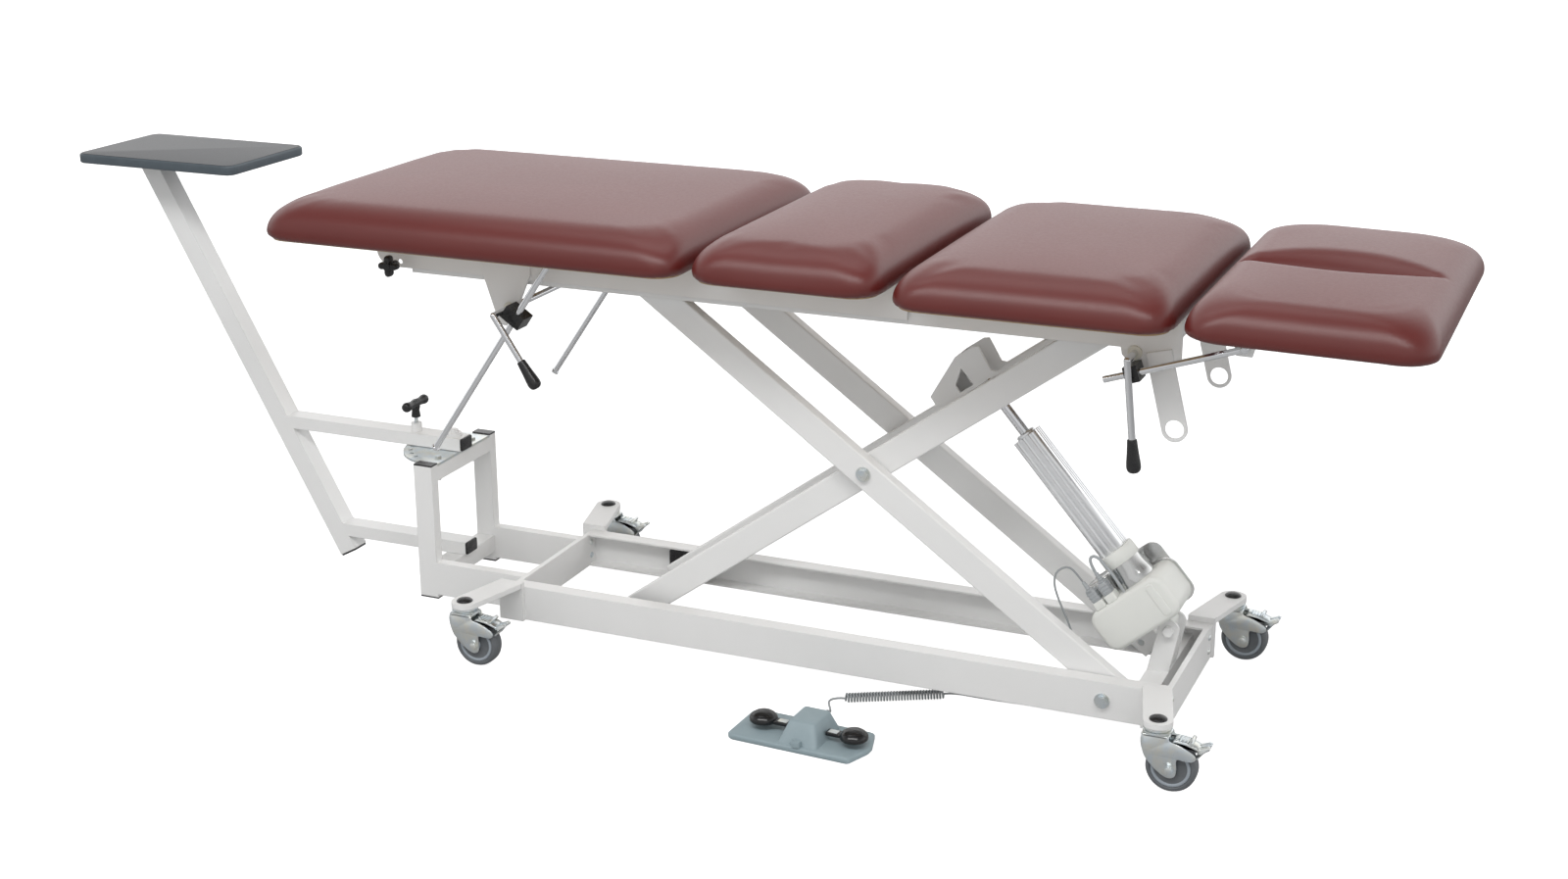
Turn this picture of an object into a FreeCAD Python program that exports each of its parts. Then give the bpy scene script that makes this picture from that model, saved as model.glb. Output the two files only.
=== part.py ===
"""Hi-lo treatment table on a scissor lift, with four cushions and a traction stand.

The table frame has its middle plane at y = 0 and the floor at z = 0; +X is the head
end and -Y the near side.  Every node is moved together so that the origin lies on the
floor under the middle of the whole object.
"""

import FreeCAD, Part
import math
import os
import re

import Sketcher

Vector = FreeCAD.Vector
Rotation = FreeCAD.Rotation
Placement = FreeCAD.Placement

doc = FreeCAD.newDocument("TreatmentTable")
sheet = doc.addObject("Spreadsheet::Sheet", "Sizes")
aliases = set()
nodes = []


# Sizes

def sizes(**entries):
    """Adds named sizes to the sheet; a text starting with = is worked out from others."""
    for name, entry in entries.items():
        aliases.add(name)
        row = len(aliases)
        sheet.set(f"A{row}", name)
        sheet.set(f"B{row}", str(entry))
        sheet.setAlias(f"B{row}", name)
    sheet.recompute()


def scoped(text):
    """Writes a formula of size names the way another object reads the sheet."""
    return re.sub(r"[a-z][a-z0-9_]*",
                  lambda word: "Sizes." + word.group() if word.group() in aliases else word.group(),
                  str(text))


def value(text):
    """The number that a formula of size names gives now."""
    return float(sheet.evalExpression(scoped(text)))


# Shapes bound to the sheet

AXIS_TURNS = {"x": (Vector(0, 1, 0), 90), "y": (Vector(1, 0, 0), -90), "z": (Vector(0, 0, 1), 0)}
OUTLINE_TURNS = {"x": (Vector(1, 1, 1), 120), "y": (Vector(1, 0, 0), 90), "z": (Vector(0, 0, 1), 0)}
AXES = {"x": Vector(1, 0, 0), "y": Vector(0, 1, 0), "z": Vector(0, 0, 1)}


def place(solid, x, y, z):
    for axis, at in (("x", x), ("y", y), ("z", z)):
        solid.setExpression("Placement.Base." + axis, scoped(at))
    return solid


def block(name, x, y, z):
    """A box between two values on each axis."""
    solid = doc.addObject("Part::Box", name)
    for side, span in (("Length", x), ("Width", y), ("Height", z)):
        solid.setExpression(side, scoped(f"({span[1]}) - ({span[0]})"))
    return place(solid, x[0], y[0], z[0])


def round_solid(kind, name, x, y, z, **measures):
    """A round solid whose axis runs along the one coordinate given as a span."""
    solid = doc.addObject(kind, name)
    starts = []
    for axis, at in (("x", x), ("y", y), ("z", z)):
        if isinstance(at, tuple):
            solid.Placement = Placement(Vector(), Rotation(*AXIS_TURNS[axis]))
            solid.setExpression("Height", scoped(f"({at[1]}) - ({at[0]})"))
            at = at[0]
        starts.append(at)
    for measure, size in measures.items():
        solid.setExpression(measure, scoped(size))
    return place(solid, *starts)


def rod(name, radius, x, y, z):
    return round_solid("Part::Cylinder", name, x, y, z, Radius=radius)


def taper(name, first_radius, last_radius, x, y, z):
    return round_solid("Part::Cone", name, x, y, z, Radius1=first_radius, Radius2=last_radius)


def hexagon(name, radius, x, y, z):
    return round_solid("Part::Prism", name, x, y, z, Circumradius=radius)


def ball(name, radius, x, y, z):
    solid = doc.addObject("Part::Sphere", name)
    solid.setExpression("Radius", scoped(radius))
    return place(solid, x, y, z)


def dome(name, radius, height, x, y, z, turn=(Vector(0, 0, 1), 0)):
    """Half an ellipsoid that bulges along its own Z axis."""
    solid = doc.addObject("Part::Ellipsoid", name)
    solid.Placement = Placement(Vector(), Rotation(*turn))
    solid.Angle1 = 0
    solid.setExpression("Radius1", scoped(height))
    solid.setExpression("Radius2", scoped(radius))
    return place(solid, x, y, z)


def frustum(name, bottom_x, bottom_y, top_x, top_y, z):
    """A housing with flat sides that narrows upwards, from spans at its foot and top."""
    solid = doc.addObject("Part::Wedge", name)
    solid.Placement = Placement(Vector(), Rotation(Vector(1, 0, 0), 90))
    spans = (("Xmin", "Xmax", bottom_x), ("X2min", "X2max", top_x))
    flipped = (("Zmin", "Zmax", bottom_y), ("Z2min", "Z2max", top_y))
    for low, high, span in spans:
        solid.setExpression(low, scoped(span[0]))
        solid.setExpression(high, scoped(span[1]))
    for low, high, span in flipped:
        solid.setExpression(low, scoped(f"-({span[1]})"))
        solid.setExpression(high, scoped(f"-({span[0]})"))
    solid.setExpression("Ymin", scoped(z[0]))
    solid.setExpression("Ymax", scoped(z[1]))
    return solid


def plate(name, points, **span):
    """A closed outline of straight sides, pushed along the axis given as a span."""
    (axis, (start, end)), = span.items()
    sketch = doc.addObject("Sketcher::SketchObject", name + "Outline")
    sketch.Placement = Placement(Vector(), Rotation(*OUTLINE_TURNS[axis]))
    sketch.setExpression("Placement.Base." + axis, scoped(start))
    ring = [Vector(value(u), value(v), 0) for u, v in points]
    for corner, following in zip(ring, ring[1:] + ring[:1]):
        sketch.addGeometry(Part.LineSegment(corner, following))
    for index, (u, v) in enumerate(points):
        sketch.addConstraint(Sketcher.Constraint("Coincident", index, 2, (index + 1) % len(points), 1))
        for direction, text in (("DistanceX", u), ("DistanceY", v)):
            number = sketch.addConstraint(
                Sketcher.Constraint(direction, -1, 1, index, 1, value(text)))
            sketch.setExpression(f"Constraints[{number}]", scoped(text))
    solid = doc.addObject("Part::Extrusion", name)
    solid.Base = sketch
    solid.DirMode = "Custom"
    solid.Dir = AXES[axis]
    solid.setExpression("LengthFwd", scoped(f"({end}) - ({start})"))
    solid.Solid = True
    return solid


def strut(name, radius, x, y, z, rise, reach):
    """A round bar from a point in a plane of constant y, rising at an angle in degrees."""
    solid = doc.addObject("Part::Cylinder", name)
    solid.Placement = Placement(Vector(), Rotation(Vector(0, 1, 0), 90 - value(rise)))
    solid.setExpression("Radius", scoped(radius))
    solid.setExpression("Height", scoped(reach))
    return place(solid, x, y, z)


def group(name, parts, turn="0", about="y", x="0", y="0", z="0"):
    """Parts made in a frame of their own, turned in degrees and set in their place."""
    holder = doc.addObject("Part::Compound", name)
    holder.Links = list(parts)
    holder.Placement = Placement(Vector(), Rotation(AXES[about], value(turn)))
    return place(holder, x, y, z)


def cut(name, base, *tools):
    result = doc.addObject("Part::Cut", name)
    result.Base = base
    result.Tool = tools[0] if len(tools) == 1 else group(name + "Tools", tools)
    result.Refine = False
    return result


def fuse(name, *parts):
    result = doc.addObject("Part::MultiFuse", name)
    result.Shapes = list(parts)
    result.Refine = True
    return result


def common(name, base, tool):
    result = doc.addObject("Part::Common", name)
    result.Base = base
    result.Tool = tool
    return result


def far(solid):
    """The same piece on the far side of the middle plane."""
    twin = doc.addObject("Part::Mirroring", solid.Name + "Far")
    twin.Source = solid
    twin.Normal = Vector(0, 1, 0)
    return twin


def pair(solid):
    return [solid, far(solid)]


def rounded(solid, radius, axis, chosen=lambda middle: True):
    """Rounds the straight edges that run along an axis and that the test picks."""
    doc.recompute()
    edges = []
    for number, edge in enumerate(solid.Shape.Edges, 1):
        run = edge.Vertexes[-1].Point - edge.Vertexes[0].Point
        if run.Length > 0 and abs(run.normalize().dot(AXES[axis])) > 0.999 and chosen(edge.CenterOfMass):
            edges.append((number, value(radius), value(radius)))
    result = doc.addObject("Part::Fillet", solid.Name + "Rounded")
    result.Base = solid
    result.Edges = edges
    return result


def made(name, shape):
    """A solid whose surface needs more than the bound shapes above."""
    solid = doc.addObject("Part::Feature", name)
    solid.Shape = shape
    return solid


def node(label, *parts):
    """One file of the assembly, moved from the table frame to the object's origin."""
    holder = group("Node_" + label, parts, x="-middle_x", y="-middle_y")
    holder.Label = label
    nodes.append(holder)
    return holder


# Overall places

sizes(
    overrun=3, running_fit=0.05, seat_gap=0.3,
    cushion_half=343, shelf_left=-1754,
    head_hinge_x=556, head_hinge_z=805, head_rest_drop=0.9, head_far=399, head_rim_level=4,
    switch_x=-60, switch_y=-357.2, switch_turn=3, switch_half_width=58, switch_shoulder=113)
sizes(
    head_end="=head_hinge_x + head_far * cos(head_rest_drop) + head_rim_level * sin(head_rest_drop)",
    switch_near="=switch_y - switch_half_width * cos(switch_turn) - switch_shoulder * sin(switch_turn)")
sizes(
    middle_x="=(shelf_left + head_end) / 2",
    middle_y="=(cushion_half + switch_near) / 2")

# Base frame: two C rails open inward, with a plate across each end

sizes(
    rail_left=-747, rail_right=534, rail_bottom=45.5, rail_depth=68.6, rail_half=167.6,
    rail_flange=32, rail_wall=4, crossbar=10)
sizes(
    rail_top="=rail_bottom + rail_depth", rail_web="=rail_half - rail_wall",
    rail_lip="=rail_half - rail_flange",
    base_left="=rail_left - crossbar", base_right="=rail_right + crossbar")


def channel(name, x, bottom, top):
    """The near C rail of a frame, its web outside and both flanges pointing inward."""
    return cut(name,
               block(name + "Bar", x, ("-rail_half", "-rail_lip"), (bottom, top)),
               block(name + "Hollow", (f"{x[0]} - overrun", f"{x[1]} + overrun"),
                     ("-rail_web", "-rail_lip + overrun"),
                     (f"{bottom} + rail_wall", f"{top} - rail_wall")))


sizes(pivot_radius=6, base_pivot_x=426, base_pivot_z=79.8)
base_rail = cut("BaseRail", channel("BaseChannel", ("rail_left", "rail_right"), "rail_bottom", "rail_top"),
                rod("BasePivotHole", "pivot_radius", "base_pivot_x",
                    ("-rail_half - overrun", "-rail_web + overrun"), "base_pivot_z"))
base_frame = fuse(
    "BaseWeldment", *pair(base_rail),
    block("HeadCrossbar", ("rail_right", "base_right"), ("-rail_half", "rail_half"),
          ("rail_bottom", "rail_top")),
    block("FootCrossbar", ("base_left", "rail_left"), ("-rail_half", "rail_half"),
          ("rail_bottom", "rail_top")))
node("base_frame", base_frame)

# Caster arms: a tab on the rail and a splayed plate with a round end

sizes(
    arm_width=51, arm_thick=10, arm_reach=125.3, arm_splay=14.6, arm_root_head=523.5,
    arm_root_foot=-751.8, king_radius=6, cap_radius=15.5, cap_height=6, fillet_small=3)
sizes(
    arm_half="=arm_width / 2", arm_root_y="=rail_half + arm_thick / 2",
    arm_top="=rail_top + arm_thick",
    caster_y="=arm_root_y + arm_reach * cos(arm_splay)",
    caster_head="=arm_root_head + arm_reach * sin(arm_splay)",
    caster_foot="=arm_root_foot - arm_reach * sin(arm_splay)")


def caster_arm(name, root, axis_x, turn):
    """The near arm: the plate lies on the rail's level and the tab on its outer face."""
    bar = block(name + "Bar", ("-arm_half", "arm_half"), ("0", "arm_reach"), ("rail_top", "arm_top"))
    slanted = group(name + "Slant", [bar], turn=turn, about="z", x=axis_x, y="-caster_y")
    tab = block(name + "Tab", (f"{root} - arm_half", f"{root} + arm_half"),
                ("-rail_half - arm_thick", "-rail_half"), ("rail_bottom", "arm_top"))
    tip = rod(name + "Tip", "arm_half", axis_x, "-caster_y", ("rail_top", "arm_top"))
    hole = rod(name + "Hole", "king_radius + running_fit", axis_x, "-caster_y",
               ("rail_top - overrun", "arm_top + overrun"))
    return cut(name, fuse(name + "Body", slanted, tab, tip), hole)


head_arm = caster_arm("HeadArm", "arm_root_head", "caster_head", "arm_splay")
foot_arm = caster_arm("FootArm", "arm_root_foot", "caster_foot", "-arm_splay")
node("caster_arms", *pair(head_arm), *pair(foot_arm))

caps = [dome("ArmCap" + side, "cap_radius", "cap_height", x, y, "arm_top")
        for side, x, y in (("HeadNear", "caster_head", "-caster_y"), ("HeadFar", "caster_head", "caster_y"),
                           ("FootNear", "caster_foot", "-caster_y"), ("FootFar", "caster_foot", "caster_y"))]

# Stand posts behind the foot crossbar, with two cross tubes and side rails

sizes(
    post_left=-992.8, post_width=40.9, post_inner=101.2, post_thick=22.3, post_bottom=39.7,
    post_top=315, cross_top=311, cross_depth=30, low_cross_bottom=60, low_cross_top=94.6,
    post_cap=3, swivel_x=-972, swivel_radius=8, boss_radius=15)
sizes(post_right="=post_left + post_width", post_outer="=post_inner + post_thick")
post_near = fuse(
    "PostNear",
    block("Post", ("post_left", "post_right"), ("-post_outer", "-post_inner"), ("post_bottom", "post_top")),
    block("PostRail", ("post_right", "base_left"), ("-post_outer", "-post_inner"),
          ("rail_bottom", "rail_top")))
sizes(quadrant_bolt_y=65, quadrant_bolt=4)
post_weldment = fuse(
    "PostWeldment", *pair(post_near),
    block("UpperCross", ("post_left", "post_right"), ("-post_inner", "post_inner"),
          ("cross_top - cross_depth", "cross_top")),
    block("LowerCross", ("post_left", "post_right"), ("-post_inner", "post_inner"),
          ("low_cross_bottom", "low_cross_top")))
swivel_hole = rod("SwivelHoleBore", "swivel_radius + running_fit", "swivel_x", "0",
                  ("low_cross_bottom - overrun", "cross_top + overrun"))
quadrant_bores = pair(rod("QuadrantBore", "quadrant_bolt", "swivel_x", "-quadrant_bolt_y",
                          ("cross_top - cross_depth - overrun", "cross_top + overrun")))
node("stand_post_frame", cut("PostFrame", post_weldment, swivel_hole, *quadrant_bores))

post_caps = []
for side, z in (("Top", ("post_top", "post_top + post_cap")),
                ("Bottom", ("post_bottom - post_cap", "post_bottom"))):
    post_caps += pair(block("PostCap" + side, ("post_left", "post_right"), ("-post_outer", "-post_inner"), z))
node("base_caps", *caps, *post_caps)

# Quadrant plate: a half disc of index holes round the stand's swivel axis

sizes(
    quadrant_radius=104, quadrant_thick=5, index_circle=89, index_hole=4.3, index_step=15)
disc = rod("QuadrantDisc", "quadrant_radius", "swivel_x", "0", ("cross_top", "cross_top + quadrant_thick"))
front = block("QuadrantFront", ("swivel_x - quadrant_radius - overrun", "post_right"),
              ("-post_inner + seat_gap", "post_inner - seat_gap"),
              ("cross_top - overrun", "cross_top + quadrant_thick + overrun"))
index_bores = [
    rod(f"IndexBore{step + 5}", "index_hole", f"swivel_x - index_circle * cos({step} * index_step)",
        f"index_circle * sin({step} * index_step)",
        ("cross_top - overrun", "cross_top + quadrant_thick + overrun")) for step in range(-4, 5)]
swivel_bore = rod("PlateSwivelBore", "swivel_radius + running_fit", "swivel_x", "0",
                  ("cross_top - overrun", "cross_top + quadrant_thick + overrun"))
plate_bores = pair(rod("PlateBoltBore", "quadrant_bolt", "swivel_x", "-quadrant_bolt_y",
                       ("cross_top - overrun", "cross_top + quadrant_thick + overrun")))
node("quadrant_plate", cut("Quadrant", common("QuadrantBlank", disc, front),
                           *index_bores, swivel_bore, *plate_bores))

# Bolts on the base: scissor pivots, crossbar screws and the quadrant's long bolts

sizes(
    bolt_head=11, bolt_head_high=7, washer_radius=14, washer_thick=2, spacer_radius=12,
    outer_leg_face=133, leg_tube=25.4, leg_depth=53, leg_gap=2.6, screw_head=6, screw_head_high=4,
    screw_low_z=66, screw_high_z=94, screw_y=146, quadrant_nut=7.5, quadrant_tail=12)
sizes(
    outer_leg_back="=outer_leg_face - leg_tube",
    inner_leg_face="=outer_leg_face - leg_tube - leg_gap",
    inner_leg_back="=outer_leg_face - 2 * leg_tube - leg_gap")
base_bolts = pair(fuse(
    "BasePivotBolt",
    rod("BasePivotShank", "pivot_radius", "base_pivot_x", ("-rail_half - washer_thick", "-outer_leg_back"),
        "base_pivot_z"),
    rod("BasePivotSpacer", "spacer_radius", "base_pivot_x", ("-rail_web", "-outer_leg_face - seat_gap"),
        "base_pivot_z"),
    rod("BasePivotWasher", "washer_radius", "base_pivot_x", ("-rail_half - washer_thick", "-rail_half"),
        "base_pivot_z"),
    hexagon("BasePivotHead", "bolt_head", "base_pivot_x",
            ("-rail_half - washer_thick - bolt_head_high", "-rail_half - washer_thick"), "base_pivot_z")))
for level in ("low", "high"):
    base_bolts += pair(dome("HeadScrew" + level, "screw_head", "screw_head_high", "base_right", "-screw_y",
                            f"screw_{level}_z", turn=(Vector(0, 1, 0), 90)))
    base_bolts += pair(dome("FootScrew" + level, "screw_head", "screw_head_high", "rail_left", "-screw_y",
                            f"screw_{level}_z", turn=(Vector(0, 1, 0), 90)))
base_bolts += pair(fuse(
    "QuadrantBolt",
    rod("QuadrantShank", "quadrant_bolt", "swivel_x", "-quadrant_bolt_y",
        ("cross_top - cross_depth - quadrant_tail", "cross_top + quadrant_thick")),
    hexagon("QuadrantHead", "quadrant_nut", "swivel_x", "-quadrant_bolt_y",
            ("cross_top + quadrant_thick", "cross_top + quadrant_thick + screw_head_high")),
    hexagon("QuadrantNut", "quadrant_nut", "swivel_x", "-quadrant_bolt_y",
            ("cross_top - cross_depth - bolt_head_high", "cross_top - cross_depth"))))
node("base_bolts", *base_bolts)

# Tail bracket: a tube between the rails with two lugs and the actuator's tail pin

sizes(
    tail_x=506, tail_z=170, tail_tube_left=470, tail_tube=40, lug_inner=22, lug_thick=6,
    lug_radius=19, tail_pin=6, tail_nut=10)
sizes(
    tail_tube_top="=rail_bottom + rail_wall + tail_tube", tail_tube_right="=tail_tube_left + tail_tube",
    lug_outer="=lug_inner + lug_thick")
lug = fuse(
    "TailLug",
    plate("TailLugPlate", [("tail_tube_left", "tail_tube_top"), ("tail_tube_right", "tail_tube_top"),
                           ("tail_x + lug_radius", "tail_z"), ("tail_x - lug_radius", "tail_z")],
          y=("-lug_outer", "-lug_inner")),
    rod("TailLugEye", "lug_radius", "tail_x", ("-lug_outer", "-lug_inner"), "tail_z"))
tail_weldment = fuse(
    "TailWeldment", *pair(lug),
    block("TailTube", ("tail_tube_left", "tail_tube_right"), ("-rail_web", "rail_web"),
          ("rail_bottom + rail_wall", "tail_tube_top")))
tail_pin = fuse(
    "TailPin",
    rod("TailPinShank", "tail_pin", "tail_x", ("-lug_outer - tail_nut", "lug_outer + tail_nut"), "tail_z"),
    hexagon("TailPinHead", "tail_nut", "tail_x", ("-lug_outer - tail_nut", "-lug_outer"), "tail_z"),
    hexagon("TailPinNut", "tail_nut", "tail_x", ("lug_outer", "lug_outer + tail_nut"), "tail_z"))
tail_bore = rod("TailBore", "tail_pin", "tail_x", ("-lug_outer - overrun", "lug_outer + overrun"), "tail_z")
node("tail_bracket", cut("TailBracket", tail_weldment, tail_bore), tail_pin)

# Casters: four forks that swivel, with wheels that trail towards the head end

sizes(
    wheel_radius=44, wheel_half=15, wheel_hub=30, wheel_dish=5, wheel_bore=4, trail=27.5,
    fork_inner=17.5, fork_thick=3, crown_low=100, crown_thick=4, race_radius=24, crown_half=26,
    fork_foot=11, brake_reach=90, brake_drop=7, brake_thick=3.5, brake_pin=3,
    brake_rise=5, brake_x=-6, brake_z=90, tread_round=7, crown_left=19, crown_right=12)
sizes(
    fork_outer="=fork_inner + fork_thick", crown_top="=crown_low + crown_thick",
    race_top="=rail_top - seat_gap", axle_z="=wheel_radius")
fork_cheek = plate(
    "ForkCheek", [("-crown_left", "crown_top"), ("trail - fork_foot", "axle_z - fork_foot"),
                  ("trail + fork_foot", "axle_z - fork_foot"), ("crown_half * 1.15", "crown_top")],
    y=("-fork_outer", "-fork_inner"))
fork_body = fuse(
    "ForkBody", *pair(fork_cheek),
    block("ForkCrown", ("-crown_left", "crown_right"), ("-fork_outer", "fork_outer"),
          ("crown_low", "crown_top")),
    rod("ForkRace", "race_radius", "0", "0", ("crown_top", "race_top")),
    rod("KingPin", "king_radius", "0", "0", ("crown_top", "arm_top - seat_gap")),
    rod("Axle", "wheel_bore - running_fit", "trail", ("-fork_outer", "fork_outer"), "axle_z"),
    *pair(hexagon("AxleNut", "wheel_bore * 2", "trail", ("-fork_outer - bolt_head_high", "-fork_outer"),
                  "axle_z")))
brake_bore = rod("BrakeBore", "brake_pin + running_fit", "brake_x",
                 ("-fork_outer - overrun", "fork_outer + overrun"), "brake_z")
fork = cut("Fork", fork_body, brake_bore)
tyre_blank = rod("TyreBlank", "wheel_radius", "trail", ("-wheel_half", "wheel_half"), "axle_z")
doc.recompute()
tyre = doc.addObject("Part::Fillet", "Tyre")
tyre.Base = tyre_blank
tyre.Edges = [(number, value("tread_round"), value("tread_round"))
              for number, edge in enumerate(tyre_blank.Shape.Edges, 1) if edge.Closed]
dish = rod("HubDish", "wheel_hub", "trail", ("-wheel_half - overrun", "-wheel_half + wheel_dish"), "axle_z")
wheel_hole = rod("WheelHole", "wheel_bore", "trail", ("-wheel_half - overrun", "wheel_half + overrun"),
                 "axle_z")
boss = rod("WheelBoss", "wheel_bore * 2.5", "trail", ("-fork_inner + seat_gap", "fork_inner - seat_gap"),
           "axle_z")
wheel = cut("Wheel", fuse("WheelBody", cut("WheelDished", tyre, *pair(dish)), boss), wheel_hole)
brake_blade = plate(
    "BrakeBlade", [("brake_x", "brake_z - brake_pin"), ("brake_x", "brake_z + brake_pin"),
                   ("brake_x + brake_reach * 0.3", "brake_z + brake_rise"),
                   ("brake_x + brake_reach * 0.62", "brake_z + brake_rise"),
                   ("brake_x + brake_reach", "brake_z - brake_drop + brake_thick"),
                   ("brake_x + brake_reach", "brake_z - brake_drop"),
                   ("brake_x + brake_reach * 0.6", "brake_z + brake_rise - brake_thick * 1.1"),
                   ("brake_x + brake_reach * 0.3", "brake_z + brake_rise - brake_thick")],
    y=("-fork_inner + seat_gap", "fork_inner - seat_gap"))
brake_clear = rod("BrakeClear", "wheel_radius + brake_thick / 2", "trail",
                  ("-fork_outer", "fork_outer"), "axle_z")
brake_pivot = rod("BrakePivot", "brake_pin", "brake_x", ("-fork_outer", "fork_outer"), "brake_z")
brake = fuse("Brake", cut("BrakeBladeClear", brake_blade, brake_clear), brake_pivot)
for corner, x, y in (("head_near", "caster_head", "-caster_y"), ("head_far", "caster_head", "caster_y"),
                     ("foot_near", "caster_foot", "-caster_y"), ("foot_far", "caster_foot", "caster_y")):
    node("caster_fork_" + corner, group("ForkAt" + corner, [fork], x=x, y=y))
    node("caster_wheel_" + corner, group("WheelAt" + corner, [wheel], x=x, y=y))
    node("caster_pedal_" + corner, group("PedalAt" + corner, [brake], x=x, y=y))

# Scissor legs: made level about the centre pivot, then turned to their rest slope

sizes(
    mid_x=-37, mid_z=425.5, leg_slope=35.8, pivot_skew=0.95, leg_low=577.8, leg_high=552.4,
    leg_tail=24, leg_mid_washer=15, tie_from=160, tie_to=205, tie_half=22, tie_setback=35)
sizes(
    leg_angle="=leg_slope + pivot_skew",
    low_along="=leg_low * cos(pivot_skew)", low_across="=leg_low * sin(pivot_skew)",
    high_along="=leg_high * cos(pivot_skew)", high_across="=leg_high * sin(pivot_skew)",
    slide_low_x="=mid_x - leg_low * cos(leg_angle)", slide_high_x="=mid_x - leg_high * cos(leg_angle)",
    top_pivot_x="=mid_x + leg_high * cos(leg_angle)",
    top_pivot_z="=mid_z + leg_high * sin(leg_angle)")


def leg(name, side, face, back):
    """One near leg tube; side is 1 when its low end points along +X, else -1."""
    low, high = ("leg_low + leg_tail", "leg_high + leg_tail")
    span = (f"-({high})", low) if side > 0 else (f"-({low})", high)
    tube = block(name + "Tube", span, (f"-{face}", f"-{back}"), ("-leg_depth / 2", "leg_depth / 2"))
    reach = (f"-{face} - overrun", f"-{back} + overrun")
    bores = [rod(name + "LowBore", "pivot_radius + running_fit", f"{side} * low_along", reach, "-low_across"),
             rod(name + "MidBore", "pivot_radius + running_fit", "0", reach, "0"),
             rod(name + "HighBore", "pivot_radius + running_fit", f"{-side} * high_along", reach,
                 "high_across")]
    softened = rounded(tube, "fillet_small", "x")
    return cut(name, softened, *bores)


outer_leg = leg("OuterLeg", 1, "outer_leg_face", "outer_leg_back")
outer_tie = block("OuterTie", ("-leg_high + tie_setback", "-leg_high + tie_setback + tie_to - tie_from"),
                  ("-outer_leg_back", "outer_leg_back"), ("-tie_half", "tie_half"))
outer_legs = fuse("OuterLegs", *pair(outer_leg), outer_tie)
node("outer_leg_frame", group("OuterLegsAtRest", [outer_legs], turn="leg_slope", x="mid_x", z="mid_z"))

inner_leg = leg("InnerLeg", -1, "inner_leg_face", "inner_leg_back")
inner_tie = block("InnerTie", ("tie_from", "tie_to"), ("-inner_leg_back", "inner_leg_back"),
                  ("-tie_half", "tie_half"))
sizes(
    bracket_inner=30, bracket_thick=4, bracket_fold=5, bracket_base_s=147.5, bracket_base_n=31.3,
    bracket_low_n=51.3, bracket_top_s=229.3, bracket_top_n=89, bracket_crest_s=268.5,
    bracket_nose_s=278.7, bracket_nose_n=83.8, bracket_heel_s=274.6, bracket_heel_n=36.8,
    bracket_toe_s=286, bracket_toe_n=26.6, window_left_s=201, window_mid_s=228, window_right_s=231.5,
    window_low_n=30, window_step_n=45, window_high_n=66)
bracket_sheet = plate(
    "BracketSheet", [("tie_from", "tie_half"), ("tie_to", "tie_half"), ("bracket_toe_s", "bracket_toe_n"),
                     ("bracket_heel_s", "bracket_heel_n"), ("bracket_nose_s", "bracket_nose_n"),
                     ("bracket_crest_s", "bracket_top_n"), ("bracket_top_s", "bracket_top_n"),
                     ("bracket_base_s", "bracket_low_n"), ("bracket_base_s", "bracket_base_n")],
    y=("-bracket_inner - bracket_thick", "-bracket_inner"))
bracket_window = plate(
    "BracketWindow", [("window_left_s", "window_low_n"), ("window_right_s", "window_low_n"),
                      ("window_right_s", "window_step_n"), ("window_mid_s", "window_high_n"),
                      ("window_left_s", "window_step_n")],
    y=("-bracket_inner - bracket_thick - overrun", "-bracket_inner + overrun"))
bracket_side = cut("BracketSide", bracket_sheet, bracket_window)
bracket_back = plate(
    "BracketBack", [("tie_from", "tie_half"), ("tie_from + bracket_fold", "tie_half"),
                    ("bracket_base_s + bracket_fold", "bracket_base_n"),
                    ("bracket_base_s + bracket_fold", "bracket_low_n - bracket_fold / 2"),
                    ("bracket_top_s", "bracket_top_n - bracket_fold"),
                    ("bracket_top_s", "bracket_top_n"), ("bracket_base_s", "bracket_low_n"),
                    ("bracket_base_s", "bracket_base_n")],
    y=("-bracket_inner", "bracket_inner"))
inner_legs = fuse("InnerLegs", *pair(inner_leg), inner_tie, *pair(bracket_side), bracket_back)
node("inner_leg_frame", group("InnerLegsAtRest", [inner_legs], turn="-leg_slope", x="mid_x", z="mid_z"))

mid_bolt = fuse(
    "MidBolt",
    rod("MidShank", "pivot_radius", "mid_x", ("-outer_leg_face - washer_thick", "-inner_leg_back"), "mid_z"),
    rod("MidSpacer", "leg_mid_washer", "mid_x", ("-outer_leg_back", "-inner_leg_face - seat_gap"), "mid_z"),
    rod("MidWasher", "washer_radius", "mid_x", ("-outer_leg_face - washer_thick", "-outer_leg_face"),
        "mid_z"),
    hexagon("MidHead", "bolt_head", "mid_x",
            ("-outer_leg_face - washer_thick - bolt_head_high", "-outer_leg_face - washer_thick"), "mid_z"))
node("mid_pivot_bolts", *pair(mid_bolt))

# Slides: blocks that run in the base and top channels, each on a pin through its leg

sizes(
    slide_front=137, slide_long=62, low_slide_ahead=14, slide_half_high=28.5, slide_clear=2.6,
    top_slide_half_high=27)
sizes(slide_back="=rail_web - slide_clear")


def slide(name, x, ahead, z, half_high, pin_from, shoulder):
    shoe = rounded(block(name + "Shoe", (f"{x} - slide_long", f"{x} + {ahead}"),
                         ("-slide_back", "-slide_front"), (f"{z} - {half_high}", f"{z} + {half_high}")),
                   "fillet_small", "y")
    pin = rod(name + "Pin", "pivot_radius", x, ("-slide_front", f"-{pin_from}"), z)
    sleeve = rod(name + "Sleeve", "spacer_radius", x, ("-slide_front", f"-{shoulder} - seat_gap"), z)
    return fuse(name, shoe, pin, sleeve)


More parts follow.
